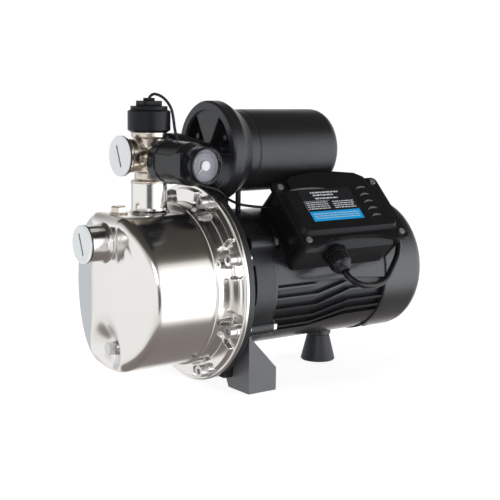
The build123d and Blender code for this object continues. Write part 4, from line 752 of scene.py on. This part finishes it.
def make_world():
    """Studio seen by the metal: white walls, dark ceiling and a dim warm table below."""
    world = bpy.data.worlds.new("studio")
    world.use_nodes = True
    tree = world.node_tree
    tree.nodes.clear()
    add = node_maker(world)
    direction = add("TexCoord").outputs["Generated"]
    height = add("SeparateXYZ", {"Vector": direction}).outputs["Z"]
    share = add("MapRange", {"Value": height, "From Min": -1.0, "From Max": 1.0}).outputs[0]
    ramp = add("ValToRGB", {"Fac": share})
    ramp.color_ramp.interpolation = "LINEAR"
    stops = ((0.0, (0.22, 0.195, 0.19)), (0.17, (0.28, 0.255, 0.25)),
             (0.235, (0.90, 0.88, 0.86)), (0.42, (1.05, 1.05, 1.05)),
             (0.57, (1.05, 1.05, 1.05)), (0.64, (0.80, 0.80, 0.79)),
             (0.765, (0.42, 0.41, 0.40)), (0.785, (0.085, 0.078, 0.066)),
             (1.0, (0.05, 0.046, 0.042)))
    elements = ramp.color_ramp.elements
    while len(elements) < len(stops):
        elements.new(0.5)
    for element, (position, colour) in zip(elements, stops):
        element.position = position
        element.color = rgba(colour)

    def lobe(heading, first, last):
        """0 to 1 as the direction comes near a heading."""
        near = add("VectorMath", {0: direction, 1: heading}, operation="DOT_PRODUCT")
        return add("MapRange", {"Value": near.outputs["Value"], "From Min": first,
                                "From Max": last}, interpolation_type="SMOOTHSTEP").outputs[0]

    dimmed = add("Mix", {"Factor": lobe((-0.10, 0.995, -0.1), 0.93, 0.985),
                         "A": ramp.outputs["Color"], "B": (0.62, 0.65, 0.69, 1)},
                 data_type="RGBA").outputs["Result"]
    dimmed = add("Mix", {"Factor": lobe((-0.48, -0.87, -0.1), 0.93, 0.98),
                         "A": dimmed, "B": (0.12, 0.115, 0.11, 1)},
                 data_type="RGBA").outputs["Result"]
    strength = add("Math", {0: lobe((0.62, -0.78, 0.02), 0.72, 0.93), 1: 1.5, 2: 1.0},
                   operation="MULTIPLY_ADD").outputs[0]
    light = add("Background", {"Color": dimmed, "Strength": strength})
    output = add("OutputWorld")
    tree.links.new(light.outputs[0], output.inputs["Surface"])
    bpy.context.scene.world = world


def softbox(name, position, target, size, power, colour=(1, 1, 1), glossy=True):
    """Rectangular studio light in metres and watts."""
    data = bpy.data.lights.new(name, "AREA")
    data.shape = "RECTANGLE"
    data.size, data.size_y = size
    data.energy = power
    data.color = colour
    lamp = bpy.data.objects.new(name, data)
    lamp.location = position
    lamp.visible_glossy = glossy
    lamp.rotation_mode = "QUATERNION"
    lamp.rotation_quaternion = (Vector(target) - Vector(position)).to_track_quat("-Z", "Y")
    bpy.context.scene.collection.objects.link(lamp)


make_floor()
make_world()
softbox("top_light", (0.1, 0.35, 1.9), (0.05, 0, 0.1), (1.6, 1.3), 22, glossy=False)
softbox("front_light", (-1.4, -1.9, 0.9), (0, 0, 0.12), (0.9, 0.7), 9)
bpy.context.scene.view_settings.view_transform = "Standard"
